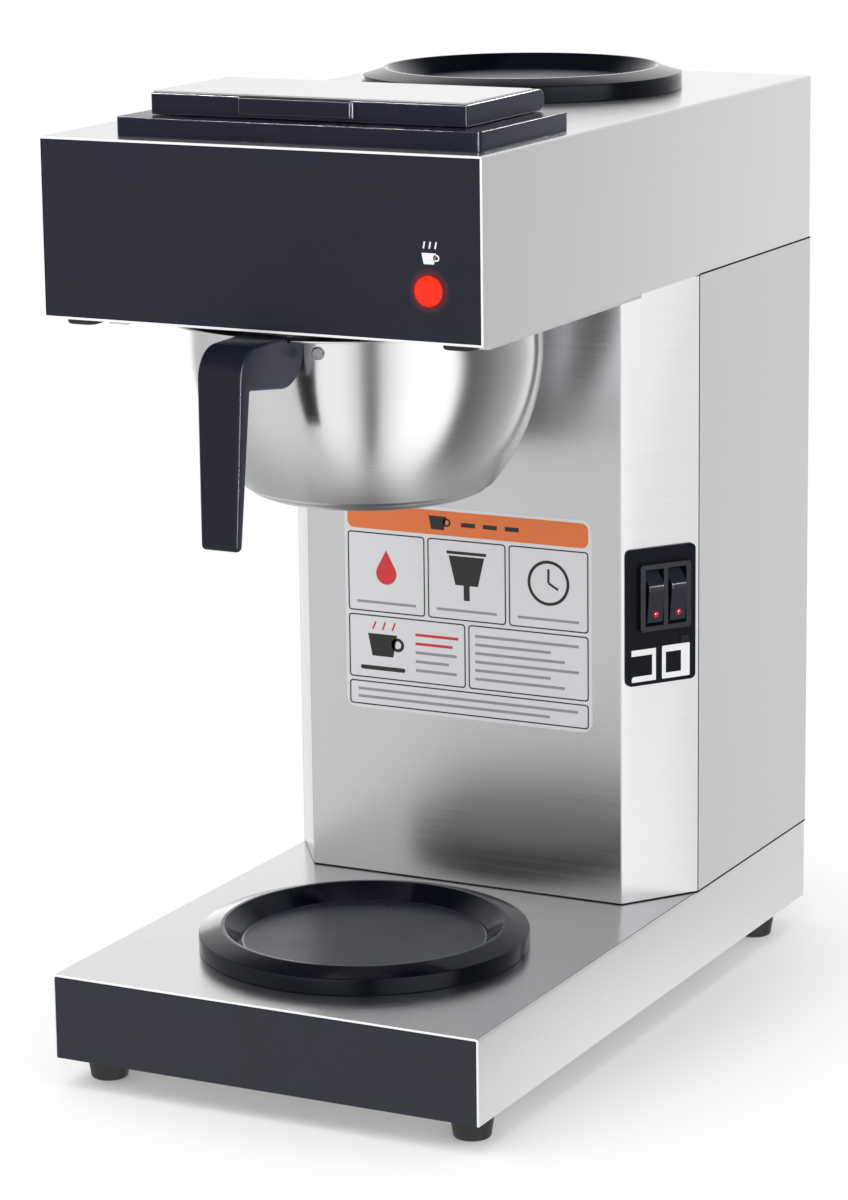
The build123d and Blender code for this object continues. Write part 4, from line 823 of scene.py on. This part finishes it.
# %% [markdown]
# ## Feet, cord inlet and the round lens
# These are turned as well. A foot is a rubber cone with a recess for its screw. The cord inlet and the
# lens lie on their side, so they are turned upright and then laid down.

# %% Feet
foot_corners = [
    (2.2, 7.0, 0.0), (5.0, 7.0, 0.4), (5.0, 0.0, 0.6), (8.0, 0.0, 1.4), (10.0, 13.0, 0.6), (2.2, 13.0, 0.0),
]


def corner_places(low, high, reach):
    """The four corners of a box seen from above, drawn in by a reach."""
    return [(x, y) for x in (low.x + reach, high.x - reach) for y in (low.y + reach, high.y - reach)]


foot_centres = [Vector((x, y, 0)) for x, y in corner_places(*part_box("rubber_feet"), 10 * MM)]
for number, centre in enumerate(foot_centres):
    turn(f"rubber_foot_{number + 1}", foot_corners, centre, counter_z, "black_rubber", "rubber_feet", 48)
print("feet:", len(foot_centres))

# %% Pieces that lie on their side


def lay(piece, matrix):
    """Move the mesh itself, so that the object stays at the origin."""
    piece.data.transform(matrix)
    piece.data.update()
    return piece


nowhere = Vector((0, 0, 0))
lens_centre = back_middle("light_lens")
dome_angles = [math.radians(degrees) for degrees in range(10, 91, 10)]
lens_corners = [(0.0, 0.0, 0.0), (5.9, 0.0, 0.0), (5.9, 1.0, 0.3)]
lens_corners += [(5.7 * math.cos(angle), 1.0 + 2.4 * math.sin(angle), 0) for angle in dome_angles]
flange_corners = [(6.0, 0.0, 0.0), (6.9, 0.0, 0.0), (6.9, 0.7, 0.3), (6.0, 0.7, 0.0)]
laid = Matrix.Translation(lens_centre) @ Matrix.Rotation(math.radians(90), 4, "X")
lay(turn("light_lens_dome", lens_corners, nowhere, 0, "red_lens", "light_lens", 64, closed=False), laid)
lay(turn("light_lens_flange", flange_corners, nowhere, 0, "red_flange", "light_lens", 64), laid)

inlet_corners = [
    (4.5, -9.0, 0.4), (7.0, -9.0, 0.3), (7.0, 0.0, 0.0), (10.0, 0.0, 0.3),
    (10.0, 1.4, 0.5), (7.6, 3.0, 0.8), (4.5, 3.0, 0.8),
]
laid = Matrix.Translation(back_middle("cord_inlet", 3 * MM)) @ Matrix.Rotation(math.radians(-90), 4, "X")
lay(turn("cord_inlet_turned", inlet_corners, nowhere, 0, "black_plastic", "cord_inlet", 64), laid)


def paint_lens_glow(material, centre, near, far, strength):
    """Red glow painted into the coat round the lens as emission, standing in for the light that the lens throws
    on it.
    """
    tree = material.node_tree
    shader = tree.nodes["Principled BSDF"]
    ends = {0: object_place(tree, (1, 0, 1)), 1: (centre.x, 0, centre.z)}
    offset = add(tree, "ShaderNodeVectorMath", ends, operation="DISTANCE").outputs["Value"]
    glow = spread(tree, offset, near, far, strength, 0.0, smooth=True)
    connect(tree, shader, {"Emission Strength": glow, "Emission Color": (1.0, 0.09, 0.07, 1)})


# Painted glow: the head panel's coat emits red round the lens.
paint_lens_glow(finishes["head_panel_coat"], lens_centre, 5.6 * MM, 10.0 * MM, 0.12)
print("lens at", [round(part, 4) for part in lens_centre])

# %% [markdown]
# ## Screws
# The back panel, the rails and the feet are held by the same pan head screw. One head is modelled with
# its cross recess. A tree puts it on each point of a seed mesh, turns it to the point's own direction,
# and then round its axis by a random angle from a fixed seed, as screws end up in a real machine.

# %% One screw head


def cross_outline(reach, half):
    """Outline of the cross recess."""
    return [
        (half, half), (reach, half), (reach, -half), (half, -half), (half, -reach), (-half, -reach),
        (-half, -half), (-reach, -half), (-reach, half), (-half, half), (-half, reach), (half, reach),
    ]


def screw_head():
    """Pan head with a cross recess, its seat at z = 0, in metres."""
    work = bmesh.new()
    crown, recess_floor, steps = 2.15, 0.8, 24

    def verts_at(height, points):
        """A ring of vertices at one height."""
        return [work.verts.new(mm(x, y, height)) for x, y in points]

    rounds = ((3.8, 0.0), (3.8, 0.7), (3.5, 1.4), (2.9, 1.9), (2.2, crown))
    rings = [verts_at(height, circle(radius, steps)) for radius, height in rounds]
    for first, second in zip(rings, rings[1:]):
        bridge(work, first, second)
    work.faces.new(list(reversed(rings[0])))
    mouth = verts_at(crown, cross_outline(1.7, 0.38))
    floor = verts_at(recess_floor, cross_outline(1.1, 0.26))
    edges = [work.edges.new((mouth[n], mouth[(n + 1) % len(mouth)])) for n in range(len(mouth))]
    edges += [work.edges.get((rings[-1][n], rings[-1][(n + 1) % steps])) for n in range(steps)]
    bmesh.ops.triangle_fill(work, use_beauty=True, edges=edges)
    bridge(work, mouth, floor)
    work.faces.new(floor)
    return mesh_from(work, "screw_head")


head_template = bpy.data.objects.new("screw_head_template", screw_head())
print("faces of a head:", len(head_template.data.polygons))

# %% Screw tree


def screw_tree():
    """Put one head on each point, turned to the point's direction."""
    kinds = {"Head": "Object", "Seed": "Int", "Size": "Float", "Finish": "Material"}
    tree, given, output = new_tree("screw_set", kinds)
    head = add(tree, "GeometryNodeObjectInfo", {"Object": given.outputs["Head"]})
    facing = add(tree, "GeometryNodeInputNamedAttribute", {"Name": "facing"}, data_type="FLOAT_VECTOR")
    direction = {"Vector": facing.outputs["Attribute"]}
    align = add(tree, "FunctionNodeAlignRotationToVector", direction, axis="Z")
    range_end = {3: math.tau, "Seed": given.outputs["Seed"]}
    chance = add(tree, "FunctionNodeRandomValue", range_end, data_type="FLOAT")
    own_turn = add(tree, "FunctionNodeAxisAngleToRotation", {"Axis": (0, 0, 1), "Angle": chance.outputs[1]})
    turns = {0: align.outputs[0], 1: own_turn.outputs[0]}
    rotate = add(tree, "FunctionNodeRotateRotation", turns, rotation_space="LOCAL")
    placed = {
        "Points": given.outputs["Geometry"],
        "Instance": head.outputs["Geometry"],
        "Rotation": rotate.outputs[0],
        "Scale": given.outputs["Size"],
    }
    end_tree(tree, add(tree, "GeometryNodeInstanceOnPoints", placed).outputs[0], given, output)
    return tree


screws_tree = screw_tree()
print("tree:", screws_tree.name, "with", len(screws_tree.nodes), "nodes")

# %% Screws in their places


def set_screws(node, places, facing, seed, size=1.0):
    """A set of heads at places, all facing one way. It stands for the CAD node."""
    points = bpy.data.meshes.new("screw_places")
    points.from_pydata([tuple(place) for place in places], [], [])
    attribute = points.attributes.new("facing", "FLOAT_VECTOR", "POINT")
    for item in attribute.data:
        item.vector = facing
    settings = {"Head": head_template, "Seed": seed, "Size": size, "Finish": finishes["zinc_screw"]}
    mesh = grow(points, screws_tree, settings)
    return make_piece(node + "_heads", mesh, "zinc_screw", node, [node])


back_low, back_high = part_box("back_panel_screws")
head_radius, head_rise = mm(3.8, 2.2)
back_places = [
    (x, back_high.y - head_rise, z)
    for x in (back_low.x + head_radius, back_high.x - head_radius)
    for z in (back_low.z + head_radius, (back_low.z + back_high.z) / 2, back_high.z - head_radius)
]
set_screws("back_panel_screws", back_places, (0, 1, 0), 3)
rail_low, rail_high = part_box("rail_screws")
rail_places = [(x, y, rail_low.z + head_rise) for x, y in corner_places(rail_low, rail_high, head_radius)]
set_screws("rail_screws", rail_places, (0, 0, -1), 5)
foot_recess = 7 * MM
foot_places = [(centre.x, centre.y, foot_recess) for centre in foot_centres]
set_screws("foot_screws", foot_places, (0, 0, -1), 8)
bpy.data.objects.remove(head_template)
print("screws:", len(back_places) + len(rail_places) + len(foot_places))

# %% [markdown]
# ## Wire basket
# A basket of welded wire holds the paper filter off the bowl's wall. A wire is a line with a
# thickness, so the seed is only the lines, and a tree turns them into curves and gives them a round
# section.

# %% Wire tree


def wire_tree():
    """Lines to round wires."""
    tree, given, output = new_tree("wire_set", {"Radius": "Float", "Sides": "Int", "Finish": "Material"})
    curve = add(tree, "GeometryNodeMeshToCurve", {"Mesh": given.outputs["Geometry"]}).outputs[0]
    section = {"Resolution": given.outputs["Sides"], "Radius": given.outputs["Radius"]}
    profile = add(tree, "GeometryNodeCurvePrimitiveCircle", section).outputs[0]
    skin = {"Curve": curve, "Profile Curve": profile, "Fill Caps": True}
    end_tree(tree, add(tree, "GeometryNodeCurveToMesh", skin).outputs[0], given, output)
    return tree


wires_tree = wire_tree()
print("tree:", wires_tree.name, "with", len(wires_tree.nodes), "nodes")

# %% Basket


def wires(name, lines, radius, finish, like, sides=10):
    """Round wires along lines of points. A line whose last point is None is closed."""
    points, edges = [], []
    for line in lines:
        closed = line[-1] is None
        line = [point for point in line if point is not None]
        first = len(points)
        points += [tuple(point) for point in line]
        edges += [(first + n, first + n + 1) for n in range(len(line) - 1)]
        if closed:
            edges.append((first + len(line) - 1, first))
    seed = bpy.data.meshes.new("lines")
    seed.from_pydata(points, edges, [])
    mesh = grow(seed, wires_tree, {"Radius": radius, "Sides": sides, "Finish": finishes[finish]})
    return make_piece(name, mesh, finish, like, [like])


def basket_point(x, y, z):
    """A point given from the funnel's axis."""
    return funnel_axis.x + x, funnel_axis.y + y, z


basket_low, basket_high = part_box("filter_basket")
foot_radius, top_radius, wire_radius, ring_inset = mm(37.7, 72, 0.95, 0.87)
ends = ((foot_radius, basket_low.z + ring_inset), (top_radius, basket_high.z - ring_inset))
basket_lines = [[basket_point(x, y, z) for x, y in circle(radius, 72)] + [None] for radius, z in ends]
stays = 8
for number in range(stays):
    angle = math.tau * (number + 0.5) / stays
    basket_lines.append([basket_point(r * math.cos(angle), r * math.sin(angle), z) for r, z in ends])
wires("filter_basket_wires", basket_lines, wire_radius, "polished_steel", "filter_basket")
print("basket wires:", len(basket_lines))

# %% [markdown]
# ## Flat shapes and printed marks
# A printed mark is a flat shape that hardly stands proud. Each is drawn as an outline, filled with
# triangles, given a few hundredths of a millimetre of thickness and laid on its surface by a matrix.

# %% Outlines


def flat_shapes(name, shapes, thickness, matrix):
    """Thin solids. A shape is a list of outlines, of which the first is its edge and the others are holes."""
    work = bmesh.new()
    for outlines in shapes:
        edges = []
        for outline_points in outlines:
            verts = [work.verts.new((x * MM, y * MM, 0)) for x, y in outline_points]
            edges += [work.edges.new((verts[n - 1], verts[n])) for n in range(len(verts))]
        filled = bmesh.ops.triangle_fill(work, use_beauty=True, edges=edges, normal=(0, 0, 1))
        faces = [item for item in filled["geom"] if isinstance(item, bmesh.types.BMFace)]
        lifted = bmesh.ops.extrude_face_region(work, geom=faces)
        verts = [item for item in lifted["geom"] if isinstance(item, bmesh.types.BMVert)]
        bmesh.ops.translate(work, verts=verts, vec=(0, 0, thickness))
    work.transform(matrix)
    return mesh_from(work, name)


def box_outline(x, y, width, height, radius=0.0):
    """Rectangle from its low corner, with rounded corners if a radius is given."""
    corners = ((x, y), (x + width, y), (x + width, y + height), (x, y + height))
    return [tuple(point) for point in round_corners([(*corner, radius) for corner in corners], steps=4)]


def disc_outline(x, y, radius, steps=32):
    """Circle about a centre."""
    return [(x + across, y + upward) for across, upward in circle(radius, steps)]


def bar_outline(x1, y1, x2, y2, width):
    """Straight bar between two points."""
    along = Vector((x2 - x1, y2 - y1)).normalized()
    side = Vector((-along.y, along.x)) * width / 2
    start, end = Vector((x1, y1)), Vector((x2, y2))
    return [tuple(start - side), tuple(end - side), tuple(end + side), tuple(start + side)]


def facing_matrix(origin, along, upward):
    """Matrix whose X runs along the surface, Y up it, and Z out of it."""
    along, upward = Vector(along).normalized(), Vector(upward).normalized()
    out = along.cross(upward)
    return Matrix.Translation(origin) @ Matrix((along, upward, out)).transposed().to_4x4()


print("points of a disc:", len(disc_outline(0, 0, 1)))

# %% [markdown]
# The inks and the card are plain coats: white, black, grey, orange and red.

# %% Inks
inks = {
    "white_ink": ((0.86, 0.87, 0.88), 0.45, 900, 0.00001, 0.5, 0.02),
    "black_ink": ((0.015, 0.015, 0.018), 0.5, 900, 0.00001, 0.5, 0.05),
    "grey_ink": ((0.33, 0.33, 0.35), 0.5, 900, 0.00001, 0.5, 0.05),
    "orange_ink": ((0.86, 0.2, 0.045), 0.45, 900, 0.00001, 0.5, 0.03),
    "red_ink": ((0.72, 0.03, 0.04), 0.45, 900, 0.00001, 0.5, 0.03),
    "card_white": ((0.8, 0.81, 0.83), 0.4, 1200, 0.00002, 0.5, 0.02),
}
finishes.update({name: coat(name, *numbers) for name, numbers in inks.items()})
print("inks:", len(inks))

# %% [markdown]
# ## Painted shade in the seams of the case
# Where two sheets of the case meet, a fine dark line shows. Thin black strips in the joints paint its
# shade: they run down both sides of the pillar and along its top and foot.

# %% Seams
seam_half = 0.42 * MM
strip_depth = 0.3 * MM
strip_proud = 0.02 * MM
side_low, side_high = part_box("pillar_side_right")
seam_y, seam_back = side_low.y, base_high.y
runs = [
    ((seam_y - seam_half, seam_y + seam_half), (base_high.z, head_low.z)),
    ((seam_y, seam_back), (head_low.z - seam_half, head_low.z + seam_half)),
    ((seam_y, seam_back), (base_high.z - seam_half, base_high.z + seam_half)),
]
# Black strips in the seam gaps: painted shade.
work = bmesh.new()
for side in (1, -1):
    for (y1, y2), (z1, z2) in runs:
        shade_strip = bmesh.ops.create_cube(work, size=1)["verts"]
        bmesh.ops.scale(work, vec=(strip_depth, y2 - y1, z2 - z1), verts=shade_strip)
        x = side * (side_high.x + strip_proud - strip_depth / 2)
        bmesh.ops.translate(work, vec=(x, (y1 + y2) / 2, (z1 + z2) / 2), verts=shade_strip)
make_piece("case_seams", mesh_from(work, "seams"), "seam_black", "pillar_side_right")
print("seams at y =", round(seam_y, 4), "and z =", round(base_high.z, 4), round(head_low.z, 4))

# %% [markdown]
# ## The card on the pillar
# The front of the pillar carries a printed card. This one is a plain guide of its own: an orange band
# with a cup, three panels with a drop, a funnel and a clock, and rows of short grey bars.

# %% Card
pillar_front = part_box("pillar_front_cover")[0].y
card_left, card_foot = mm(-60, 130)
card_matrix = facing_matrix((card_left, pillar_front, card_foot), (1, 0, 0), (0, 0, 1))
card_width, card_height = 125, 98
card_lift = 0.15
ink_lift = 0.03


def printed(name, shapes, ink, matrix, like, lift):
    """Printed marks that lie on a surface."""
    raised = matrix @ Matrix.Translation((0, 0, lift * MM))
    return make_piece(name, flat_shapes(name, shapes, ink_lift * MM, raised), ink, like)


def card_print(name, shapes, ink, lift=card_lift + ink_lift):
    """Printed marks on the card."""
    return printed("guide_card_" + name, shapes, ink, card_matrix, "pillar_front_cover", lift)


def cup_shapes(x, y, size):
    """A cup from the side, with its handle."""
    half_top, half_foot, half_height = size * 0.5, size * 0.36, size * 0.35
    body = [
        (x - half_top, y + half_height),
        (x - half_foot, y - half_height),
        (x + half_foot, y - half_height),
        (x + half_top, y + half_height),
    ]
    ear = [disc_outline(x + size * 0.52, y + size * 0.05, size * share, 20) for share in (0.22, 0.12)]
    return [[body], ear]


def drop_outline(x, y, size):
    """A drop with its point up."""
    radius, low_y = size * 0.55, y - size * 0.15
    angles = [math.radians(150 + 12 * n) for n in range(21)]
    return [(x, y + size)] + [(x + radius * math.cos(a), low_y + radius * math.sin(a)) for a in angles]


print("card", card_width, "by", card_height, "mm")

# %% Marks of the card
card_shape = [[box_outline(0, 0, card_width, card_height, 5)]]
card_mesh = flat_shapes("card", card_shape, card_lift * MM, card_matrix)
make_piece("guide_card", card_mesh, "card_white", "pillar_front_cover")
header = [[box_outline(1.6, 85, card_width - 3.2, 11.4, 3.4)]]
card_print("band", header, "orange_ink", card_lift).visible_glossy = False
panels = [
    (1.6, 46, 39.6, 37.4), (42.7, 46, 39.6, 37.4), (83.8, 46, 39.6, 37.4),
    (1.6, 14.5, 60, 30), (63.1, 14.5, 60.3, 30), (1.6, 1.6, 121.8, 11.4),
]
line = 0.6
frames = [
    [box_outline(x, y, w, h, 1.6), box_outline(x + line, y + line, w - 2 * line, h - 2 * line, 1.1)]
    for x, y, w, h in panels
]
funnel_sign = [
    [[(53.5, 76), (56.8, 62.5), (68.2, 62.5), (71.5, 76)]],
    [box_outline(61, 55.5, 3, 7)],
    [box_outline(52.5, 76.8, 20, 1.4)],
]
clock = (103.6, 67.5)
clock_sign = [[disc_outline(*clock, radius, 40) for radius in (10.4, 9.0)]]
clock_sign += [[bar_outline(*clock, x, y, 1.1)] for x, y in ((103.6, 74), (108.4, 64.8))]
dashes = [[bar_outline(60 + 11 * n, 90.6, 67 + 11 * n, 90.6, 2.0)] for n in range(3)]
saucer = [[box_outline(7.5, 18.5, 23, 2.0, 0.8)]]
marks = frames + cup_shapes(48, 90.6, 9) + dashes + funnel_sign + clock_sign
marks += cup_shapes(19, 30.5, 15) + saucer
card_print("black", marks, "black_ink")
red_marks = [[drop_outline(21.4, 66, 9.5)]]
red_marks += [[bar_outline(14 + 5 * n, 37.8, 15.6 + 5 * n, 41.6, 0.8)] for n in range(3)]
red_marks += [[box_outline(36, 36.5 - 4.2 * n, 22 - 3 * (n % 2), 1.3)] for n in range(2)]
card_print("red", red_marks, "red_ink")
bars = [[box_outline(66.5, 38.8 - 4.0 * n, 52 - 7 * ((n * 2) % 3), 1.3)] for n in range(6)]
bars += [[box_outline(36, 28.1 - 4.2 * n, 21 - 4 * (n % 2), 1.3)] for n in range(3)]
bars += [[box_outline(6, 8.4 - 3.6 * n, 112 - 14 * n, 1.3)] for n in range(2)]
bars += [[box_outline(6 + 41.1 * n, 50, 30.5, 1.2)] for n in range(3)]
card_print("bars", bars, "grey_ink")
print("card marks:", len(marks) + len(red_marks) + len(bars))

# %% [markdown]
# ## Marks on the switch plate and by the light
# The plate on the chamfer has two white signs below the rockers, one for each warmer: an open bracket
# and a square ring. A small white cup stands above the brewing light.

# %% Switch marks
chamfer_width, chamfer_depth, plate_thickness = mm(23.2, 33.3, 1.6)
chamfer_along = Vector((chamfer_width, chamfer_depth, 0)).normalized()
chamfer_out = Vector((chamfer_depth, -chamfer_width, 0)).normalized()
chamfer_front = Vector((side_high.x - chamfer_width, pillar_front, 0))
plate_face = chamfer_front + chamfer_out * plate_thickness
sign_matrix = facing_matrix(plate_face, chamfer_along, (0, 0, 1))
bracket = [
    (4.4, 169.4), (17.2, 169.4), (17.2, 154.6), (4.8, 154.6), (4.4, 155.8), (5.2, 157.2), (15.2, 157.2),
    (15.2, 166.6), (4.4, 166.6),
]
square_ring = [box_outline(20.4, 154.6, 14.6, 15.2, 0.6), box_outline(22.4, 157.2, 8.0, 9.6, 0.2)]
printed("switch_signs", [[bracket], square_ring], "white_ink", sign_matrix, "switch_plate", 0.0)
stub = flat_shapes("stub", [[box_outline(29.9, 170.3, 4.6, 3.4, 0.5)]], 0.5 * MM, sign_matrix)
soften(make_piece("switch_plate_stub", stub, "switch_plastic", "switch_plate"), 0.15 * MM)
light_matrix = facing_matrix((0, head_low.y, 0), (1, 0, 0), (0, 0, 1))
brewing = cup_shapes(78.6, 370.4, 6.4)
brewing += [[bar_outline(76.2 + 2.6 * n, 374.4, 76.8 + 2.6 * n, 377.2, 0.7)] for n in range(3)]
printed("brewing_sign", brewing, "white_ink", light_matrix, "head_front_panel", 0.0)
print("signs ready")

# %% [markdown]
# ## Rockers
# Each rocker is a paddle with a ridge above its middle, so that a finger finds the half to press. Its
# lower half stands out at rest and carries a domed red jewel. The section is drawn in the rocker's own
# tilted plane and given the width of the rocker.

# %% Rockers
rocker_tilt = math.radians(11)
rocker_front = chamfer_out * math.cos(rocker_tilt) + Vector((0, 0, 1)) * math.sin(rocker_tilt)
rocker_up = Vector((0, 0, 1)) * math.cos(rocker_tilt) - chamfer_out * math.sin(rocker_tilt)
rocker_section = [(1.6, 11.9), (5.9, 5.6), (6.3, 4.6), (6.2, 2.6), (1.3, -12.0), (-4.0, -9.0), (-4.0, 9.0)]
(face_out, face_high), (foot_out, face_low) = rocker_section[3:5]
rocker_half_width = 4.1
jewel_height = -8.2
jewel_out = foot_out + (face_out - foot_out) * (jewel_height - face_low) / (face_high - face_low)
jewel_points = ((0.0, -0.6), (1.55, -0.6), (1.55, 0.2), (1.3, 0.65), (0.8, 0.95), (0.0, 1.05))
jewel_corners = [(*point, 0) for point in jewel_points]
low_face = Vector((face_out - foot_out, face_high - face_low)).normalized()
along_face = rocker_front * low_face.x + rocker_up * low_face.y
joint_places = {joint["name"]: joint.get("pos_m") for joint in frame["record"]["behaviour"]["joints"]}
for side in ("left", "right"):
    rocker = "rocker_" + side
    pivot = Vector(joint_places[side + "_rocker_tilt"])
    work = bmesh.new()
    ends = []
    for reach in (-rocker_half_width, rocker_half_width):
        end_place = pivot + chamfer_along * reach * MM
        points = [end_place + rocker_front * u * MM + rocker_up * v * MM for u, v in rocker_section]
        ends.append([work.verts.new(point) for point in points])
        work.faces.new(ends[-1])
    bridge(work, *ends)
    paddle = make_piece(rocker + "_paddle", mesh_from(work, "paddle"), "switch_plastic", rocker, [rocker])
    soften(paddle, 0.5 * MM, 3, 12)
    jewel_place = pivot + rocker_front * jewel_out * MM + rocker_up * jewel_height * MM
    jewel = rocker + "_jewel"
    dome = turn(jewel + "_dome", jewel_corners, nowhere, 0, "red_jewel", jewel, 24, False, 60)
    lay(dome, facing_matrix(jewel_place, chamfer_along, along_face))
print("rocker section points:", len(rocker_section))

# %% [markdown]
# ## Studio
# The machine stands on a white floor that runs out into a white backdrop. The camera sees the backdrop
# at full white. Steel shows what stands round it, so the light tent is not the same all round: it has
# bright panels and a few darker gaps, which draw the soft bands on the case and on the bowl. Its roof is
# dark, which keeps the glossy black rings black.

# %% Light tent
white = (1, 1, 1, 1)
world = bpy.data.worlds.new("light_tent")
scene.world = world
world.use_nodes = True
tent = world.node_tree
tent.nodes.clear()
direction = split(tent, add(tent, "ShaderNodeTexCoord").outputs["Generated"])
round_angle = calculate(tent, "ARCTAN2", direction["X"], calculate(tent, "MULTIPLY", direction["Y"], -1))
ramp = add(tent, "ShaderNodeValToRGB", {"Fac": spread(tent, round_angle, -math.pi, math.pi, 0, 1)})
ramp.color_ramp.interpolation = "B_SPLINE"
# Degrees round the machine, and how bright the tent is there.
tent_panels = [
    (-180, 0.8), (-155, 0.9), (-130, 0.62), (-117, 0.36), (-66, 0.55), (-40, 0.6), (-29, 0.54), (-24, 0.62),
    (-17, 0.42), (-7, 0.78), (10, 0.84), (21, 0.6), (27, 0.14), (33, 0.14), (38, 0.6), (54, 1.0), (76, 1.0),
    (87, 1.0), (91, 0.5), (96, 0.06), (104, 0.1), (122, 0.2), (142, 0.34), (153, 0.46), (158, 0.6), (166, 0.72),
    (180, 0.8),
]
elements = ramp.color_ramp.elements
while len(elements) < len(tent_panels):
    elements.new(0.5)
for element, (degrees, brightness) in zip(elements, tent_panels):
    element.position = (degrees + 180) / 360
    element.color = (brightness, brightness, brightness, 1)
wall_strength, roof_strength = 1.5, 0.15
strength = spread(tent, direction["Z"], 0.42, 0.72, wall_strength, roof_strength, smooth=True)
backdrops = ((ramp.outputs["Color"], strength), (white, 0.75), (white, 1.0))
mirrored, soft, shown = [
    add(tent, "ShaderNodeBackground", {"Color": colour, "Strength": power}).outputs[0]
    for colour, power in backdrops
]
rays = add(tent, "ShaderNodeLightPath").outputs
seen = calculate(tent, "MAXIMUM", rays["Is Camera Ray"], rays["Is Transmission Ray"])
unseen = mix_shaders(tent, rays["Is Glossy Ray"], soft, mirrored)
add(tent, "ShaderNodeOutputWorld", {0: mix_shaders(tent, seen, unseen, shown)})
print("tent panels:", len(tent_panels))

# %% Soft boxes


def soft_box(name, place, target, width, height, power):
    """A rectangular lamp that looks at a point."""
    lamp = bpy.data.lights.new(name, "AREA")
    lamp.shape = "RECTANGLE"
    lamp.size, lamp.size_y, lamp.energy = width, height, power
    box = bpy.data.objects.new(name, lamp)
    scene.collection.objects.link(box)
    box.location = place
    box.rotation_euler = (Vector(target) - Vector(place)).to_track_quat("-Z", "Y").to_euler()
    box.visible_glossy = False
    return box


target = (0, 0, 0.2)
soft_box("overhead_box", (-0.3, -0.5, 1.7), target, 1.6, 1.6, 15)
soft_box("right_box", (1.7, 0.1, 0.9), target, 1.0, 1.4, 6)
soft_box("left_box", (-1.5, -0.9, 0.9), target, 0.9, 1.4, 6)
print("three soft boxes")

# %% [markdown]
# Black mouldings need a thin line of light on their edges, or they melt into one shape. Narrow strip
# lamps give it, and one behind the machine skims the glossy rings. Each is linked to its own pieces, as a
# studio would shade it off the steel.

# %% Strip lamps for the dark mouldings
mouldings = [
    "lid_frame_shaped", "lid_cover_shaped", "switch_housing_shaped",
    "rocker_left_paddle", "rocker_right_paddle", "rocker_left_jewel_dome", "rocker_right_jewel_dome",
    "lower_warmer_plate_edge", "upper_warmer_plate_edge",
]
rings = ["lower_warmer_ring_turned", "upper_warmer_ring_turned"]
steel_tops = ["base_shell_shaped", "head_shell_shaped", "lid_top_plate_shaped"]
# Name, place, width, height, watts and the pieces that it lights.
strips = (
    ("right_strip", (0.86, -0.48, 0.42), 0.03, 0.8, 22, mouldings + ["funnel_handle_moulded"]),
    ("left_strip", (-0.75, -0.75, 1.25), 0.9, 0.05, 32, mouldings),
    ("back_strip", (-0.9, 1.4, 0.25), 0.9, 0.5, 2.5, rings),
    ("edge_strip", (0.36, 0.76, 0.86), 0.5, 0.1, 6, mouldings[:2]),
    ("switch_strip", (1.05, -0.1, 0.55), 0.4, 0.08, 10, mouldings[3:7]),
    ("top_box", (0, 0.1, 1.8), 1.8, 1.8, 12, steel_tops),
)
for name, place, width, height, power, lit_names in strips:
    strip = soft_box(name, place, (0, -0.1, 0.3), width, height, power)
    strip.visible_glossy = True
    lit_pieces = bpy.data.collections.new(name + "_lights")
    for lit_name in lit_names:
        lit_pieces.objects.link(bpy.data.objects[lit_name])
    strip.light_linking.receiver_collection = lit_pieces
print("strip lamps:", len(strips))

# %% [markdown]
# The floor is white near the machine, where it takes the shadow, and fades to the white of the
# backdrop further out, so that no horizon shows. In the steel the tent goes on below the horizon, so
# the bands on the bowl run down to its floor, and a white card on the right lights the base's side.

# %% Floor
floor_mesh = bpy.data.meshes.new("studio_floor")
floor_radius, floor_steps = 2.5, 64
floor_points = [(x, y, counter_z) for x, y in circle(floor_radius, floor_steps)]
floor_mesh.from_pydata(floor_points, [], [list(range(floor_steps))])
floor = bpy.data.objects.new("studio_floor", floor_mesh)
scene.collection.objects.link(floor)
floor_finish, tree, floor_shader = new_finish("floor_white", (0.93, 0.93, 0.93), 0.0, 0.7)
connect(tree, floor_shader, {"Specular IOR Level": 0.1})
floor_mesh.materials.append(floor_finish)
oval = {0: object_place(tree, (1.5, 1, 1))}
spot = add(tree, "ShaderNodeVectorMath", oval, operation="LENGTH").outputs["Value"]
fade = spread(tree, spot, 0.15, 0.34, 0, 1, smooth=True)
at_right = spread(tree, split(tree, object_place(tree))["X"], 0.1, 0.12, 0, 1)
on_card = calculate(tree, "MULTIPLY", at_right, calculate(tree, "SUBTRACT", 1.0, fade))
glow, card = [
    add(tree, "ShaderNodeEmission", {"Color": white, "Strength": power}).outputs[0] for power in (1.0, 1.15)
]
clear = add(tree, "ShaderNodeBsdfTransparent").outputs[0]
lit_floor = mix_shaders(tree, fade, floor_shader.outputs[0], glow)
mirrored_floor = mix_shaders(tree, on_card, clear, card)
glossy_ray = add(tree, "ShaderNodeLightPath").outputs["Is Glossy Ray"]
surface = mix_shaders(tree, glossy_ray, lit_floor, mirrored_floor)
connect(tree, tree.nodes["Material Output"], {"Surface": surface})
print("floor radius", floor_radius, "m")

# %% [markdown]
# ## Colour as it is written
# The Standard view shows a colour as it was given.

# %% View
scene.view_settings.view_transform = "Standard"
